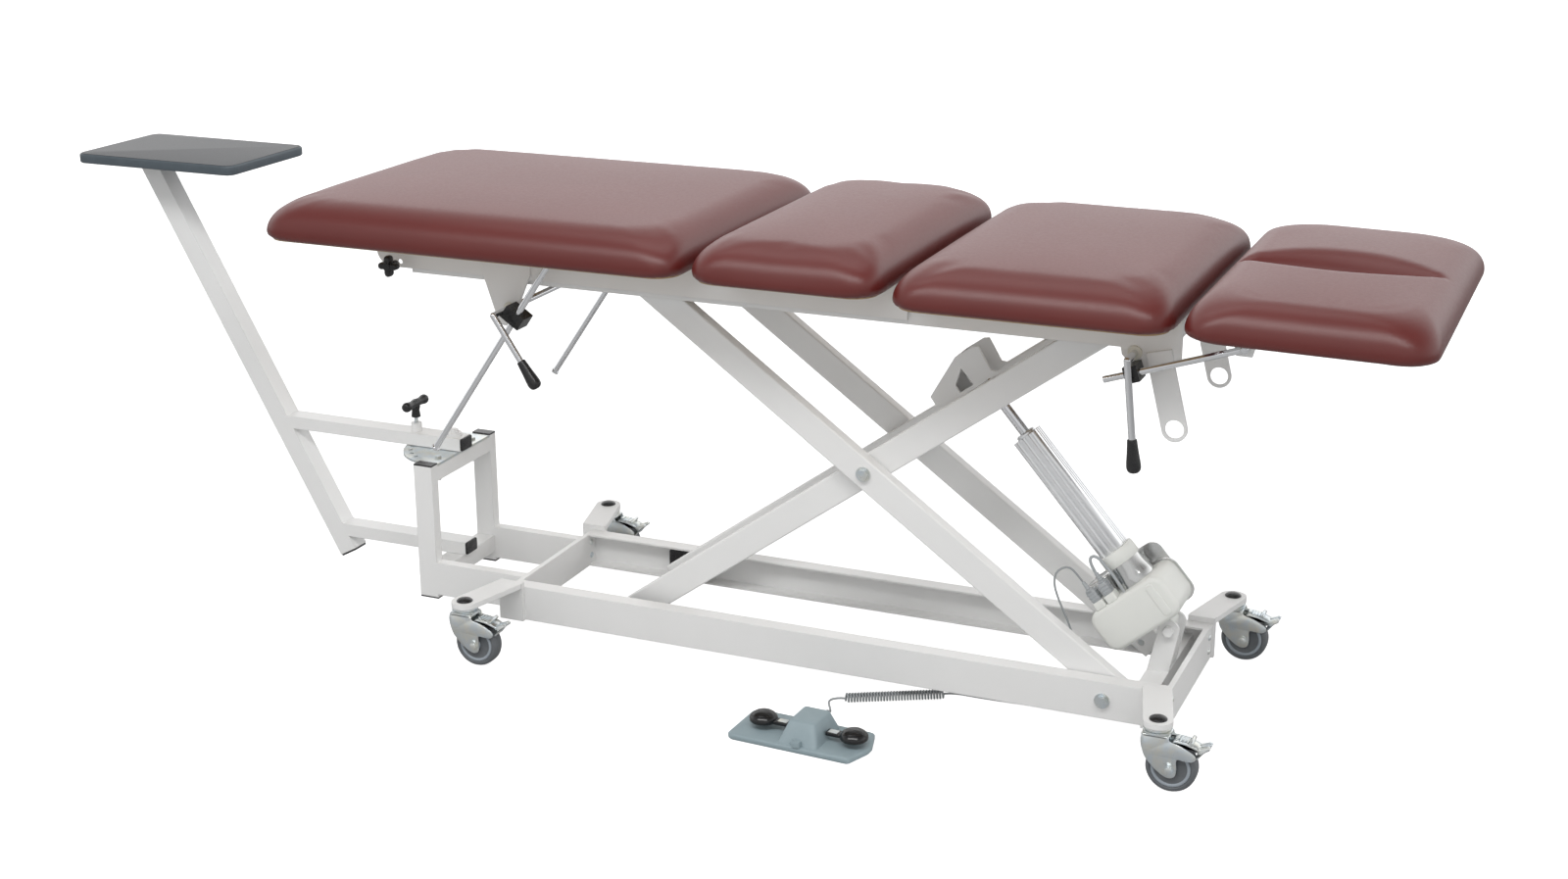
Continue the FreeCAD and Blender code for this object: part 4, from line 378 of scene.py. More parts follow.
# Casters: a pressed zinc fork with swept-back cheeks and a bright ball race under the arm, a wheel
# with a grey rubber tread on a blue-grey nylon centre, and a total-lock pedal above it.
TRAIL, AXLE = 27.5, 44
tread_rubber = Finish("grey_wheel_rubber", roughness=0.55)
scuffs = tread_rubber.noise(0.01, 3)
tread_rubber.set(base_color=tread_rubber.mix(scuffs, (0.105, 0.115, 0.125), (0.15, 0.16, 0.17)),
                 roughness=0.5 + 0.15 * tread_rubber.noise(0.004))
centre_nylon = Finish("blue_grey_wheel_centre", roughness=0.4)
flow = centre_nylon.noise(0.012)
centre_nylon.set(base_color=centre_nylon.mix(flow, (0.30, 0.34, 0.38), (0.36, 0.40, 0.44)),
                 roughness=0.36 + 0.12 * centre_nylon.noise(0.003))
CHEEK = eased([(-24, 102), (-24, 84), (-17, 62), (0, 43), (17, 31), (27, 28), (37, 32), (39, 44),
               (37.5, 66), (49, 64), (64, 64), (71, 70), (68, 78), (52, 87), (38, 92), (24, 95),
               (24, 102)], 7)
PEDAL_BLADE = eased([(-7, 88), (-7, 91), (8, 91.4), (27, 91.4), (32, 97), (52, 95), (70, 88.5),
                     (75, 85), (73, 81.5), (52, 90.5), (34, 92.5), (28, 87.5), (8, 87.4)], 2.4)
PEDAL_TIP = eased([(68, 87), (76, 88), (88, 93), (92, 91), (91, 87), (82, 82), (79, 77), (72, 68),
                   (68, 67), (67, 70), (72, 78)], 2.5)
TREAD = [(34.5, -12.4), (36.5, -14.6), (39.5, -14.4), (42, -12.6), (43.6, -9), (44, -4)]
CENTRE = [(4.2, -17), (9.5, -17), (10.2, -16.2), (10.6, -10.8), (13, -9.6), (25, -9), (27.6, -10.2),
          (28.8, -13.2), (30.4, -14.2), (32.6, -14.2), (34, -13.2), (34.6, -11)]
RACE = [(14, 103.5), (24, 103.5), (25.2, 104.3), (25.2, 106.6), (24, 107.4), (21.5, 107.6),
        (21.5, 108.6), (23.6, 109), (24.4, 110), (24.4, 112.4), (23, 113.7), (12, 113.7)]
NUT = [(0, -26), (5.5, -26), (7, -25), (7, -20.5)]
ROLLER = [(0, -16.6), (2.6, -16.6), (3.4, -15.4), (3.4, 15.4), (2.6, 16.6), (0, 16.6)]
UP, ACROSS, ALONG = (0, 0, 1), (0, 1, 0), (1, 0, 0)


def both_ways(profile):
    """A profile and its mirror image, as one line from side to side."""
    return profile + [(radius, -way) for radius, way in reversed(profile)]


for corner in ("head_near", "head_far", "foot_near", "foot_far"):
    axle = (np.array(middle("caster_wheel_" + corner)) - ORIGIN) * 1000
    stem = np.array((axle[0] - TRAIL, axle[1], 0))


    def on_stem(spots, stem=stem):
        """From the caster's own frame, with its origin on the floor under its kingpin."""
        return spots + stem


    skin("caster_fork_" + corner + "_pressed", zinc,
         pressed(CHEEK, -20.5, -17.6, 0.7), pressed(CHEEK, 17.6, 20.5, 0.7),
         moulded((-24, -20.5, 98.5), (24, 20.5, 103.5), 4, 1.6),
         turned(RACE, (0, 0, 0), UP, 56),
         turned([(0, 113.6), (5.8, 113.6), (5.8, 117)], (0, 0, 0), UP, 24),
         turned([(3.9, -20.5), (3.9, 20.5)], (TRAIL, 0, AXLE), ACROSS, 20),
         turned([(8.6, -21.6), (8.6, -20.4)], (TRAIL, 0, AXLE), ACROSS, 24),
         turned(NUT, (TRAIL, 0, AXLE), ACROSS, 6),
         turned([(7, 20.5), (7, 24), (5.5, 25.4), (0, 25.4)], (TRAIL, 0, AXLE), ACROSS, 6),
         body="fork_" + corner, slot="zinc", stands_for=("caster_fork_" + corner,), place=on_stem)
    skin("caster_tread_" + corner, tread_rubber,
         turned(both_ways(TREAD), (TRAIL, 0, AXLE), ACROSS, 72),
         body="wheel_" + corner, slot="grey_rubber", stands_for=("caster_wheel_" + corner,), place=on_stem)
    skin("caster_centre_" + corner, centre_nylon,
         turned(both_ways(CENTRE), (TRAIL, 0, AXLE), ACROSS, 64),
         body="wheel_" + corner, slot="grey_plastic", place=on_stem)
    ribs = [moulded((x, -13, z), (x + 3, 13, z + 2.6), 1.2, 0.8)
            for x, z in ((40, 95.2), (46, 94.6), (52, 93.4))]
    skin("caster_pedal_" + corner + "_pressed", zinc, pressed(PEDAL_BLADE, -14.5, 14.5, 0.8),
         pressed(PEDAL_TIP, -13, -3, 0.8), pressed(PEDAL_TIP, 3, 13, 0.8), *ribs,
         turned([(0, -17), (3, -17), (3, 17), (0, 17)], (-6, 0, 90), ACROSS, 20),
         turned(ROLLER, (60, 0, 95.5), ACROSS, 20),
         moulded((32.5, -9, 95), (39, 9, 100), 2, 1.2),
         body="pedal_" + corner, slot="zinc", stands_for=("caster_pedal_" + corner,), place=on_stem)

# Actuator: an extruded aluminium tube with flutes down its faces, a wiper ring where the ground
# rod comes out, a cream collar on a bright steel gear case, and the motor under a silver cover.
aluminium = Finish("anodised_aluminium", metallic=1.0, roughness=0.32)
aluminium.set(base_color=aluminium.mix(aluminium.noise(0.03, 3), (0.84, 0.85, 0.87), (0.91, 0.92, 0.93)),
              roughness=0.24 + 0.14 * aluminium.noise(0.002, 2))
steel = Finish("bright_motor_steel", metallic=1.0, roughness=0.16)
steel.set(base_color=steel.mix(steel.noise(0.03, 3), (0.60, 0.61, 0.61), (0.70, 0.70, 0.69)),
          roughness=0.12 + 0.12 * steel.noise(0.004, 2))
cream = Finish("cream_housing_plastic", roughness=0.4)
cream.set(base_color=cream.mix(cream.noise(0.05, 3), (0.76, 0.77, 0.735), (0.80, 0.81, 0.775)),
          roughness=0.38 + 0.1 * cream.noise(0.004))
cream.relief(cream.noise(0.0009, 1), 0.00003)


def in_actuator(spots):
    """From the actuator's own frame: x along it from the tail pin, z down and away."""
    turn = math.radians(229.02)
    x, y, z = spots.T
    cosine, sine = math.cos(turn), math.sin(turn)
    return np.c_[506 + x * cosine + z * sine, y, 170 - x * sine + z * cosine]


def fluted(half_y, half_z, round_off, count=400):
    """The tube's outline: a round-cornered rectangle with round-bottomed flutes down each face."""
    plan = rounded_plan(half_y, half_z, round_off, count)
    near_face = np.abs(plan[:, 0]) > half_y - 1
    wide = np.maximum(0, np.cos(plan[:, 1] * 2 * np.pi / 13.5)) ** 0.5 * (np.abs(plan[:, 1]) < 17) * 2.2
    fine = np.maximum(0, np.cos(plan[:, 0] * 2 * np.pi / 8)) ** 0.5 * (np.abs(plan[:, 0]) < 14) * 1.8
    plan[:, 0] -= np.sign(plan[:, 0]) * wide * near_face
    plan[:, 1] -= np.sign(plan[:, 1]) * fine * ~near_face * (np.abs(plan[:, 1]) > half_z - 1)
    return plan


tube_line = fluted(22, 25, 7)
tube_rings = np.array([np.c_[np.full(len(tube_line), x), tube_line * shrink]
                       for x, shrink in ((170.5, 0.985), (171.5, 1), (426.9, 1), (427.9, 0.985))])
skin("fluted_tube", aluminium, tube_rings, body="actuator", slot="aluminium_profile",
     stands_for=("actuator_tube",), place=in_actuator)
skin("wiper_ring", aluminium,
     turned([(11, 427.9), (18.5, 427.9), (19, 428.6), (19, 432), (17.4, 434), (14, 434.6), (12, 434.6),
             (10.8, 433)], (0, 0, 0), ALONG, 48),
     body="actuator", slot="aluminium_profile", place=in_actuator)
skin("gear_collar", cream,
     turned([(20, 145), (33.6, 145.2), (35, 146.6), (35, 168.6), (33.6, 170.3), (27, 170.5), (24, 170.5)],
            (0, 0, 0), ALONG, 64),
     moulded((-2, -21.3, -14), (22, 21.3, 14), 12, 1.4, up=1),
     body="actuator", slot="cream_plastic", stands_for=("gear_motor",), place=in_actuator)
skin("gear_case", steel,
     turned([(30, 100), (36, 103), (36, 112), (35, 116), (33, 130), (32, 145.4), (20, 145.4)],
            (0, 0, 0), ALONG, 64),
     body="actuator", slot="motor_steel", place=in_actuator)
skin("motor_cover", steel,
     moulded((17, 37, -64.5), (106.5, 41, 104.5), 25, 1.2, up=1),
     moulded((23.5, 40.6, -58), (142, 44.2, 98), 20, 1.0, up=1),
     moulded((27, 43.8, -54.5), (138.5, 52, 94.5), 18, 3.2, up=1),
     moulded((96, 2, 42), (140, 46, 96), 12, 5, up=0),
     body="actuator", slot="motor_steel", place=in_actuator)

# Control box: a two-part cream moulding with big soft corners, a raised band near one end of its
# face and a parting seam, with two white sockets for the motor cable and the foot cord.
skin("control_housing", cream,
     moulded((20.5, -60, -61), (103, -40, 101), 23, 9, up=1, count=96),
     moulded((20.5, -51.5, -61), (103, 37, 101), 23, 1.2, up=1, count=96),
     moulded((30, -61.6, -42), (94, -50, -26), 6, 1.6, up=1),
     body="actuator", slot="cream_plastic", stands_for=("control_box",), place=in_actuator)
skin("cable_sockets", cream,
     *[moulded((102, -57, low), (117, -33, low + 22), 3.5, 1.4, up=0) for low in (28, 54)],
     body="actuator", slot="cream_plastic", place=in_actuator)
plug_grey = Finish("grey_plug_rubber", roughness=0.5)
plug_grey.set(base_color=plug_grey.mix(plug_grey.noise(0.01), (0.36, 0.38, 0.395), (0.43, 0.45, 0.465)),
              roughness=0.45 + 0.1 * plug_grey.noise(0.003))


def cable_plug(low, boot, lead):
    """A plug body with three grip ribs, and its ringed boot of a given radius round its lead."""
    centre = low + 11
    rings = [(boot * (1 - 0.32 * step / 8) * (1 if step % 2 else 0.8), 143 + 2 * step) for step in range(9)]
    return [moulded((117, -55, low + 2), (140, -35, low + 20), 4, 1.6, up=0),
            *[moulded((x, -56, low + 1.2), (x + 2.4, -34, low + 20.8), 4, 0.9, up=0)
              for x in (121, 127, 133)],
            turned([(4, 139), (7.5, 139.4), (7.8, 142), (6.4, 143.4)], (0, lead, centre), ALONG, 32),
            turned([(2, 142)] + rings + [(2, 160)], (0, lead, centre), ALONG, 32)]


skin("cord_plug_ribbed", plug_grey, *cable_plug(54, 5, -50), body="actuator", slot="grey_plastic",
     stands_for=("cord_plug",), place=in_actuator)
skin("motor_plug_ribbed", plug_grey, *cable_plug(28, 6, -40), body="actuator", slot="grey_plastic",
     place=in_actuator)
LOOP = np.array([(159, -40, 39), (187, -40, 36.2), (187, -40, 16.95), (143, -40, 14.15), (103, -40, 16.95)])
motor_cable = cable("motor_loop_cable", at(*in_actuator(LOOP)), 0.0056, 4, 12)
motor_cable.data.materials.append(plug_grey.material)
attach(motor_cable, "actuator")
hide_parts("loop_cable")

# Release levers: bent chromed bars, each with a black grip of hard plastic pushed on to its end,
# which swells downwards to a round end.
grip_profile = [(0, 0), (7.2, 0), (8.2, 0.8), (9, 10), (10.2, 24), (11.8, 38), (12.4, 46), (12.2, 50),
                (10.8, 54), (8, 57), (4.4, 58.3), (0, 58.6)]
for name, x, y, z, rise, body in (("head_grip", 469.14, -219, 581.16, -83.9, "head_release"),
                                  ("foot_grip", -670.2, -240, 595.2, -56.1, "foot_release")):
    way = (math.cos(math.radians(rise)), 0, math.sin(math.radians(rise)))
    skin(name + "_turned", black, turned(eased(grip_profile, 1.2, False), (x, y, z), way, 48),
         body=body, slot="black_plastic", stands_for=(name,))

# Star knob of the glide lock, with four lobes, and the T-handle of the stand's index plunger: both
# moulded in black on a zinc-plated stud or pin.
KNOB_X, KNOB_Z = -960.5, 742
knob_turn = np.arange(96) * 2 * np.pi / 96
knob_lobes = 15.2 + 6.4 * np.cos(4 * knob_turn) - 1.2 * np.cos(8 * knob_turn)
knob_rings = []
for way, reach in ((-223.4, 0.55), (-222.6, 0.86), (-221, 0.97), (-217, 1), (-211, 1), (-208, 0.96),
                   (-206.8, 0.8), (-206.4, 0.4)):
    radius = knob_lobes * reach
    knob_rings.append(np.c_[KNOB_X + radius * np.cos(knob_turn), np.full(96, way),
                            KNOB_Z + radius * np.sin(knob_turn)])
skin("glide_knob_star", black, np.array(knob_rings),
     turned([(8, -223.6), (7.6, -224.8), (0, -225.2)], (KNOB_X, 0, KNOB_Z), ACROSS, 32),
     turned([(7, -207), (7.6, -200), (6.8, -192), (6, -190)], (KNOB_X, 0, KNOB_Z), ACROSS, 32),
     body="glide_lock", slot="black_plastic", stands_for=("glide_knob",))
PLUNGER_X = -1061
t_bar = [(9.5, 0), (7.8, 12), (8.4, 22), (9.8, 28), (10, 33), (8.6, 37), (5, 39.2), (0, 39.5)]
t_bar = [(radius, -way) for radius, way in reversed(t_bar[1:])] + t_bar
skin("t_handle_moulded", black,
     turned(t_bar, (PLUNGER_X, 0, 400), ACROSS, 40),
     turned([(6, 371.9), (9, 371.9), (9.6, 373.2), (8.8, 378), (7.8, 386), (9.4, 393), (9, 400)],
            (PLUNGER_X, 0, 0), UP, 40),
     body="plunger", slot="black_plastic", stands_for=("t_handle",))
skin("plunger_pin", zinc,
     turned([(0, 318.5), (3.2, 318.5), (3.9, 319.7), (3.9, 374)], (PLUNGER_X, 0, 0), UP, 28),
     body="plunger", slot="zinc")

# Traction stand's shelf: a dark laminate on board with a grey moulded band round its edge, and
# black plugs pushed into the open ends of the stand's tubes.
laminate = Finish("dark_grey_laminate", roughness=0.42)
speckle = laminate.noise(0.0012, 2)
laminate.set(base_color=laminate.mix(speckle.clipped(0.35, 0.7), (0.030, 0.032, 0.036),
                                     (0.052, 0.055, 0.060)),
             roughness=0.36 + 0.16 * laminate.noise(0.0018, 2))
laminate.relief(laminate.noise(0.0008, 2), 0.00004)
edge_band = Finish("grey_edge_band", roughness=0.4)
streaks = edge_band.noise(0.02, 3)
edge_band.set(base_color=edge_band.mix(streaks, (0.060, 0.078, 0.092), (0.080, 0.100, 0.116)),
              roughness=0.36 + 0.12 * edge_band.noise(0.003))
skin("shelf_edge_mould", edge_band, moulded((-1754, -126, 864), (-1374, 126, 883.4), 18, 4, count=120),
     body="stand", slot="black_plastic", stands_for=("stand_shelf_and_caps",))
skin("shelf_laminate_top", laminate,
     moulded((-1751.4, -123.4, 880), (-1376.6, 123.4, 884), 16, 0.6, count=120),
     body="stand", slot="shelf_laminate")


STAND_RISE, STAND_TOP = math.radians(61.7), 833.5


def on_stand(spots):
    """From the slanted tube's own frame: x down along it from its top."""
    x, y, z = spots.T
    cosine, sine = math.cos(STAND_RISE), math.sin(STAND_RISE)
    return np.c_[-1651.5 + x * cosine + z * sine, y, STAND_TOP - x * sine + z * cosine]


tube_long = (STAND_TOP - 60) / math.sin(STAND_RISE)
skin("stand_foot_plug", black,
     moulded((tube_long - 0.4, -20.5, -20.5), (tube_long + 4, 20.5, 20.5), 4, 1.6, up=0),
     body="stand", slot="black_plastic", place=on_stand)
skin("stand_arm_plugs", black,
     *[moulded((-948.4, -20.5, low), (-944, 20.5, low + 26), 4, 1.6, up=0) for low in (316.8, 95)],
     body="stand", slot="black_plastic")

# Boards under the cushions: birch plywood with oiled edges, screwed to the frames from below, let
# into the foot of each cushion.
plywood = Finish("birch_plywood", roughness=0.6)
grain = plywood.noise(0.004, 4, 0.6, (14, 1, 1))
plywood.set(base_color=plywood.mix(grain, (0.36, 0.23, 0.12), (0.56, 0.40, 0.24)),
            roughness=0.5 + 0.2 * grain)
dress(plywood, "thoracic_board", "pelvic_board", "leg_board")

# Cushions: dense foam on a board under burgundy vinyl, pulled tight over wide soft edges and
# stapled underneath.  A closed form is blown up a little as cloth over its foam.
vinyl = Finish("burgundy_vinyl", specular_ior_level=0.55)
blush = vinyl.noise(0.09, 3)
vinyl.set(base_color=vinyl.mix(blush, (0.104, 0.0115, 0.0095), (0.122, 0.0155, 0.0125)),
          roughness=0.34 + 0.09 * vinyl.noise(0.006, 2))
vinyl.relief(vinyl.cells(0.0014) * 0.6 + vinyl.noise(0.0009, 2) * 0.4, 0.00009, 0.6)
HALF_WIDE, RIM, PLAN_ROUND, FOOT_ROUND, CROWN = 343, 58, 52, 12, 7
SWELL = 1.5


def cushion_rings(left, right, low, high, count=260, rows=36):
    """Rings from the middle of the foot outward, round its small lower edge, up the side and over
    the wide quarter-circle rim to a crown that falls off as one minus the 2.6th power."""
    half_x, half_y = (right - left) / 2 - SWELL, HALF_WIDE - SWELL
    steps = [(share, 0, low, 0) for share in (0.02, 0.2, 0.4, 0.6, 0.8, 0.95)]
    steps += [(1, FOOT_ROUND * (1 - np.sin(q)), low + FOOT_ROUND * (1 - np.cos(q)), 0)
              for q in np.linspace(0, np.pi / 2, 6)]
    top = high - CROWN - SWELL
    steps += [(1, RIM * (1 - np.cos(q)), top - RIM * (1 - np.sin(q)), 0)
              for q in np.linspace(0, np.pi / 2, 14)]
    steps += [(share, RIM, top, CROWN) for share in np.linspace(0.98, 0.02, rows)]
    rings = []
    for share, inset, level, crown in steps:
        inset = FOOT_ROUND if share < 1 and crown == 0 else inset
        plan = rounded_plan(half_x - inset, half_y - inset, PLAN_ROUND + 0.8 * inset, count) * share
        away_x, away_y = np.abs(plan / (half_x - RIM, half_y - RIM)).clip(0, 1).T
        lift = crown * (1 - away_x ** 2.6) * (1 - away_y ** 2.6)
        rings.append(np.c_[plan[:, 0] + (left + right) / 2, plan[:, 1], level + lift])
    return np.array(rings)


def settle(piece):
    """Applies a piece's modifiers to its mesh."""
    mesh = bpy.data.meshes.new_from_object(piece.evaluated_get(bpy.context.evaluated_depsgraph_get()))
    piece.modifiers.clear()
    piece.data = mesh


def remeshed(piece, size, rounds=6):
    """Even faces of a given size over the whole piece."""
    even = piece.modifiers.new("even", "REMESH")
    even.mode = "VOXEL"
    even.voxel_size = size
    even.use_smooth_shade = True
    smooth = piece.modifiers.new("smooth", "SMOOTH")
    smooth.factor = 0.5
    smooth.iterations = rounds
    settle(piece)


def places_of(mesh):
    """The places of a mesh's points, as rows."""
    spots = np.empty(len(mesh.vertices) * 3)
    mesh.vertices.foreach_get("co", spots)
    return spots.reshape(-1, 3)


def blown(piece, low, cap, pressure=4.0):
    """Blows the piece up as cloth held at its foot, and keeps each point near where it was."""
    before = places_of(piece.data)
    held = piece.vertex_groups.new(name="held")
    held.add(np.flatnonzero(before[:, 2] < low + 0.006).tolist(), 1.0, "REPLACE")
    cloth = piece.modifiers.new("cloth", "CLOTH")
    settings = cloth.settings
    settings.quality = 4
    settings.mass = 0.4
    settings.tension_stiffness = 20
    settings.compression_stiffness = 20
    settings.shear_stiffness = 10
    settings.bending_stiffness = 2
    settings.use_pressure = True
    settings.uniform_pressure_force = pressure
    settings.vertex_group_mass = "held"
    settings.effector_weights.gravity = 0
    cloth.collision_settings.use_collision = False
    scene = bpy.context.scene
    for step in range(1, 21):
        scene.frame_set(step)
    after = places_of(piece.evaluated_get(bpy.context.evaluated_depsgraph_get()).data)
    shift = after - before
    length = np.linalg.norm(shift, axis=1, keepdims=True)
    shift *= np.minimum(1, cap / np.maximum(length, 1e-9))
    piece.modifiers.clear()
    piece.vertex_groups.clear()
    piece.data.vertices.foreach_set("co", (before + shift).ravel())
    scene.frame_set(1)
    smooth = piece.modifiers.new("smooth", "SMOOTH")
    smooth.factor = 0.5
    smooth.iterations = 16
    settle(piece)
    print(piece.name, "grew by at most", round(float(length.max()) * 1000, 1), "mm, on average",
          round(float(np.linalg.norm(shift, axis=1).mean()) * 1000, 2), "mm")


def gathered(piece, left, right, low):
    """Small pleats where the vinyl is drawn round the plan corners to its staples: ripples along
    the edge, strongest at the foot and fading half-way up the side and along the straights."""
    spots = places_of(piece.data)
    local = (spots - ORIGIN) * 1000
    from_x = np.minimum(local[:, 0] - left, right - local[:, 0])
    from_y = HALF_WIDE - np.abs(local[:, 1])
    corner = np.exp(-(np.hypot(from_x, from_y) / 70) ** 2)
    foot = np.clip(1 - (local[:, 2] - low) / 26, 0, 1) ** 2
    along = np.where(from_x < from_y, local[:, 1], local[:, 0])
    ripple = np.sin(along * 2 * np.pi / 17) + 0.6 * np.sin(along * 2 * np.pi / 11.3 + 1.3)
    middle_place = np.array(((left + right) / 2, 0, 0))
    away = local - middle_place
    away[:, 2] = 0
    away /= np.maximum(np.linalg.norm(away, axis=1, keepdims=True), 1)
    push = (1.1 * ripple * foot * (0.25 + corner))[:, None] * away
    piece.data.vertices.foreach_set("co", (spots + push / 1000).ravel())
    piece.data.update()


def cut_away(piece, *surfaces, place=None):
    """Takes a closed form out of the piece."""
    room = skin("room", vinyl, *surfaces, place=place)
    taking = piece.modifiers.new("taking", "BOOLEAN")
    taking.operation = "DIFFERENCE"
    taking.object = room
    taking.solver = "EXACT"
    settle(piece)
    bpy.data.objects.remove(room)


def upholstered(name, left, right, low, high, body, cushion_node):
    """A level cushion: its rings, blown up, pleated and let onto its board."""
    piece = skin(name, vinyl, cushion_rings(left, right, low, high))
    remeshed(piece, 0.0065)
    blown(piece, low / 1000, 0.003)
    gathered(piece, left, right, low)
    return fitted(piece, left, right, low, body, cushion_node)


def fitted(piece, left, right, low, body, cushion_node, place=None):
    """Makes room for the board in a cushion's foot and puts the cushion in its CAD node's stead."""
    board = moulded((left + 16, -HALF_WIDE + 16, low - 10), (right - 16, HALF_WIDE - 16, low + 9), 42, 0.2)
    cut_away(piece, board, place=place)
    piece.data.shade_smooth()
    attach(piece, body)
    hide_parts(cushion_node)
    return piece


upholstered("leg_pad", -1171, -305, 799.3, 879, "leg_section", "leg_cushion")
upholstered("pelvic_pad", -297, 60, 799, 879, "carriage", "pelvic_cushion")
upholstered("thoracic_pad", 68, 552, 788, 866, "top", "thoracic_cushion")

# Head cushion: as the others, with a breathing slot down its middle whose wide rolled lips narrow
# to creases near both ends, and a stitched seam round the slot's lining.
SLOT_LEFT, SLOT_RIGHT, SLOT_HALF, SLOT_DEEP = 26, 356, 52, 64


def in_head(spots):
    """From the head section's own frame, level at its hinge."""
    drop = math.radians(0.9)
    x, y, z = spots.T
    cosine, sine = math.cos(drop), math.sin(drop)
    return np.c_[HINGE_X + x * cosine + z * sine, y, HINGE_Z - x * sine + z * cosine]


HINGE_X, HINGE_Z = 556, 805
HEAD_LEFT, HEAD_RIGHT, HEAD_LOW, HEAD_HIGH = 4, 399, -17, 61


def slot_half(x):
    """Half the slot's width: an arc of a circle through its ends and its widest place."""
    half_long = (SLOT_RIGHT - SLOT_LEFT) / 2
    radius = (half_long ** 2 + SLOT_HALF ** 2) / 2 / SLOT_HALF
    away = x - (SLOT_LEFT + SLOT_RIGHT) / 2
    return np.sqrt(np.maximum(radius ** 2 - away ** 2, 0)) - (radius - SLOT_HALF)


def lip(x, share):
    """How far from the slot's middle the lip is at a share of its roll, 0 on top and 1 at the hole."""
    wide = np.clip(slot_half(x), 0, None)
    return 0.34 * wide + (1 - share) * (1.05 * wide + 16)


def valley(x, y):
    """How deep the lips have rolled: a quarter ellipse across them, fading towards both ends."""
    share = np.clip((lip(x, 0) - np.abs(y)) / (lip(x, 0) - lip(x, 1)), 0, 1)
    away = np.clip(np.abs(2 * x - SLOT_LEFT - SLOT_RIGHT) / (SLOT_RIGHT - SLOT_LEFT + 24), 0, 1)
    return SLOT_DEEP * (1 - away ** 2) ** 1.2 * (1 - np.sqrt(1 - (0.99 * share) ** 2)) / 0.86


def slotted(rings):
    """Presses the valley into the top of the rings."""
    upper = np.clip((rings[..., 2] - 10) / 30, 0, 1)
    pressed_in = valley(rings[..., 0], rings[..., 1]) * upper
    rings[..., 2] -= np.minimum(pressed_in, np.maximum(rings[..., 2] + 9, 0))
    return rings


def lens_room():
    """The slot's opening through the foot of the cushion."""
    x = np.linspace(SLOT_LEFT + 50, SLOT_RIGHT - 50, 40)
    half = np.maximum(lip(x, 1), 0.3)
    outline = np.vstack([np.c_[x, half], np.c_[x, -half][::-1]])
    return np.array([np.c_[outline, np.full(len(outline), z)] for z in (-40, 4)])


head_pad = skin("head_pad", vinyl,
                slotted(cushion_rings(HEAD_LEFT, HEAD_RIGHT, HEAD_LOW, HEAD_HIGH, rows=90)),
                place=in_head)
cut_away(head_pad, lens_room(), place=in_head)
remeshed(head_pad, 0.0045, 8)
fitted(head_pad, HEAD_LEFT, HEAD_RIGHT, HEAD_LOW, "head_section", "head_cushion", in_head)
thread = Finish("red_thread", roughness=0.7)
thread.set(base_color=thread.mix(thread.noise(0.002), (0.20, 0.028, 0.022), (0.30, 0.06, 0.045)))
STITCH_SHARES = [(0, 0.1), (0.55, 0.22), (0.7, 0.5), (0.55, 0.78), (0, 0.9)]
stitch_x = np.linspace(SLOT_LEFT + 60, SLOT_RIGHT - 60, 62)
stitches = []
for side in (-1, 1):
    y = side * lip(stitch_x, 0.9)
    line = in_head(np.c_[stitch_x, y, HEAD_HIGH - 1 - valley(stitch_x, y)])
    on_pad = [head_pad.closest_point_on_mesh(Vector(spot))[1] for spot in at(*line)]
    line = (np.array(on_pad) - ORIGIN) * 1000
    for start, way in zip(line[:-1], np.diff(line, axis=0)):
        profile = [(radius, share * np.linalg.norm(way)) for radius, share in STITCH_SHARES]
        stitches.append(turned(profile, start, way, 6))
skin("slot_stitching", thread, *stitches, body="head_section", slot="vinyl")

# Foot switch: a blue-grey slab with bevelled ends and a tapered hood, and two glossy black domed
# treadles on short arms with a pale inset plate.
switch_grey = Finish("blue_grey_plastic", roughness=0.45)
mottle = switch_grey.noise(0.02, 3)
switch_grey.set(base_color=switch_grey.mix(mottle, (0.27, 0.345, 0.375), (0.31, 0.39, 0.42)),
                roughness=0.42 + 0.1 * switch_grey.noise(0.004))
switch_grey.relief(switch_grey.noise(0.0008, 1), 0.00004)
gloss_black = Finish("gloss_black_plastic", roughness=0.16)
haze = gloss_black.noise(0.01)
gloss_black.set(base_color=gloss_black.mix(haze, (0.008, 0.008, 0.009), (0.014, 0.014, 0.015)),
                roughness=0.14 + 0.1 * gloss_black.noise(0.004))


def on_switch(spots):
    """From the foot switch's own frame, turned a little on the floor."""
    turn = math.radians(-3)
    x, y, z = spots.T
    cosine, sine = math.cos(turn), math.sin(turn)
    return np.c_[-60 + x * cosine - y * sine, -357.2 + x * sine + y * cosine, z]


SLAB = eased([(-125, -49), (-116, -58), (113, -58), (129, -9), (129, 9), (113, 58), (-116, 58),
              (-125, 49)], 5)


def slab_rings():
    """The slab's outline stacked up: a thin foot, an upright edge and a wide bevel to its top."""
    rings = []
    for shrink, level in ((0.985, 0), (1, 1), (1, 7.5), (0.985, 9.4), (0.95, 11)):
        rings.append(np.c_[SLAB * shrink, np.full(len(SLAB), level)])
    return np.array(rings)


def hood_rings():
    """The hood's plan shrinking from the slab to its flat top, with a soft upper rim."""
    rings = []
    for share, inset in ((0, 0), (0.05, 0), (0.5, 0), (0.93, 0), (0.98, 1.2), (1, 3.6)):
        half_x = 38 - 13 * share - inset
        half_y = 52 - 20 * share - inset
        plan = rounded_plan(half_x, half_y, max(6 - inset, 1), 72)
        rings.append(np.c_[plan[:, 0] + 12, plan[:, 1] - 2 + 4 * share, np.full(72, 10.5 + 37.5 * share)])
    return np.array(rings)


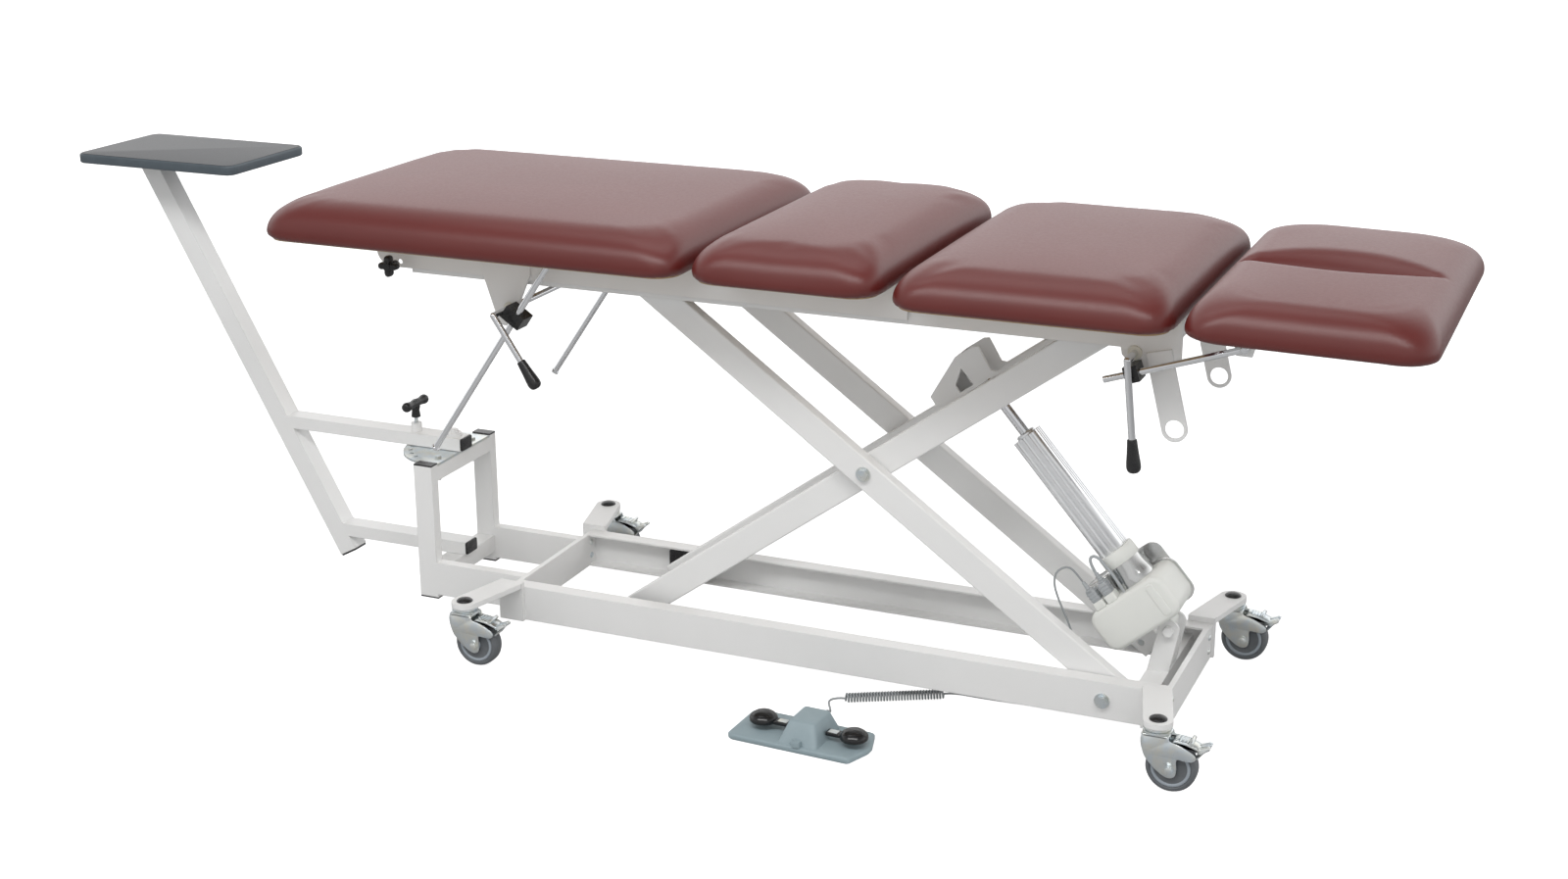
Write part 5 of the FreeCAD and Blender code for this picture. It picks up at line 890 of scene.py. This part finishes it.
skin("switch_slab_and_hood", switch_grey, slab_rings(), hood_rings(),
     turned([(5.5, 38), (5.5, 52), (5, 53), (5, 56), (4.4, 57), (4.4, 58.6), (3, 59.4)],
            (14, 0, 30), ACROSS, 28),
     moulded((4, -59.5, 10.6), (20, -50, 22), 2, 1), moulded((-2, -53, 10.6), (26, -44, 16), 2, 1),
     body="base", slot="grey_plastic", stands_for=("foot_switch",), place=on_switch)
for side, name, body in ((-1, "pad_left", "treadle_left"), (1, "pad_right", "treadle_right")):
    centre = 12 + side * 88
    root = 12 + side * 36
    low_x, high_x = sorted((root, centre))
    skin(name + "_dome", gloss_black,
         turned([(16, 22), (23.5, 22.3), (25.2, 24), (25.5, 27), (25.2, 29.6), (24.2, 31.4),
                 (21.5, 34.6), (17, 37.8), (11, 40), (5, 40.9), (0, 41)], (centre, -4, 0), UP, 64),
         moulded((low_x, -13, 22), (high_x, 5, 29), 2.5, 1.6),
         body=body, slot="black_plastic", stands_for=(name,), place=on_switch)
    inset_low, inset_high = sorted((12 + side * 40, 12 + side * 58))
    skin(name + "_inset", zinc, moulded((inset_low, -10.5, 28.6), (inset_high, 2.5, 29.6), 1.5, 0.4),
         body=body, slot="zinc", place=on_switch)

# Studio: a white floor that runs back to a bright wall, less light overhead, one wide soft box
# above the front and a weak one over the top.
floor_finish = Finish("studio_floor", base_color=(0.52, 0.52, 0.52), roughness=0.95, emission_strength=1.0)
away = floor_finish.node("VectorMath", {"operation": "LENGTH"}, {0: floor_finish.place}, "Value")
shown = floor_finish.node("LightPath", output="Is Camera Ray")
glow = floor_finish.mix(away.clipped(1.7, 4.5), (0.88, 0.88, 0.88), (1.0, 1.0, 1.0))
floor_finish.set(emission_color=floor_finish.mix(shown, (0.0, 0.0, 0.0), glow))
FLOOR_CORNERS = 30000 * np.array([(-1, -1), (1, -1), (1, 1), (-1, 1)])
floor = skin("studio_floor", floor_finish,
             np.array([np.c_[FLOOR_CORNERS, np.full(4, level)] for level in (-1.0, -0.5)]))

world = bpy.context.scene.world or bpy.data.worlds.new("World")
bpy.context.scene.world = world
world.use_nodes = True
BACK_GLOW, FRONT_GLOW, ZENITH_GLOW = 1.42, 0.76, 0.30


class Surroundings(Finish):
    """The studio's walls: light by direction only."""

    def __init__(self, tree):
        self.tree = tree
        self.place = self.node("TexCoord", output="Generated")


walls = Surroundings(world.node_tree)
split = walls.node("SeparateXYZ", None, {0: walls.place})
height = Tone(walls, split.socket.node.outputs[2])
depth = Tone(walls, split.socket.node.outputs[1])
overhead = height.clipped(0.42, 0.80)
ahead = (0.25 - depth).clipped(0, 0.6)
level = BACK_GLOW * (1 - ahead) + FRONT_GLOW * ahead
level = level * (1 - overhead) + ZENITH_GLOW * overhead
seen = walls.node("LightPath", output="Is Camera Ray")
level = level * (1 - seen) + 1.0 * seen
background = world.node_tree.nodes["Background"]
background.inputs["Color"].default_value = (1, 1, 1, 1)
world.node_tree.links.new(level.socket, background.inputs["Strength"])


def soft_box(name, place, aim, width, height, power):
    """A soft rectangular lamp at a place, turned to an aim; sizes in metres and power in watts."""
    light = bpy.data.objects.new(name, bpy.data.lights.new(name, "AREA"))
    bpy.context.scene.collection.objects.link(light)
    light.data.shape = "RECTANGLE"
    light.data.size, light.data.size_y = width, height
    light.data.energy = power
    light.location = place
    light.rotation_euler = (Vector(aim) - Vector(place)).to_track_quat("-Z", "Y").to_euler()
    return light


soft_box("front_box", (0.4, -2.1, 3.0), (0, 0, 0.7), 4.2, 0.7, 66)
soft_box("top_box", (-0.2, 0.4, 3.6), (0, 0, 0), 3.0, 1.6, 22)
bpy.context.scene.view_settings.view_transform = "Standard"
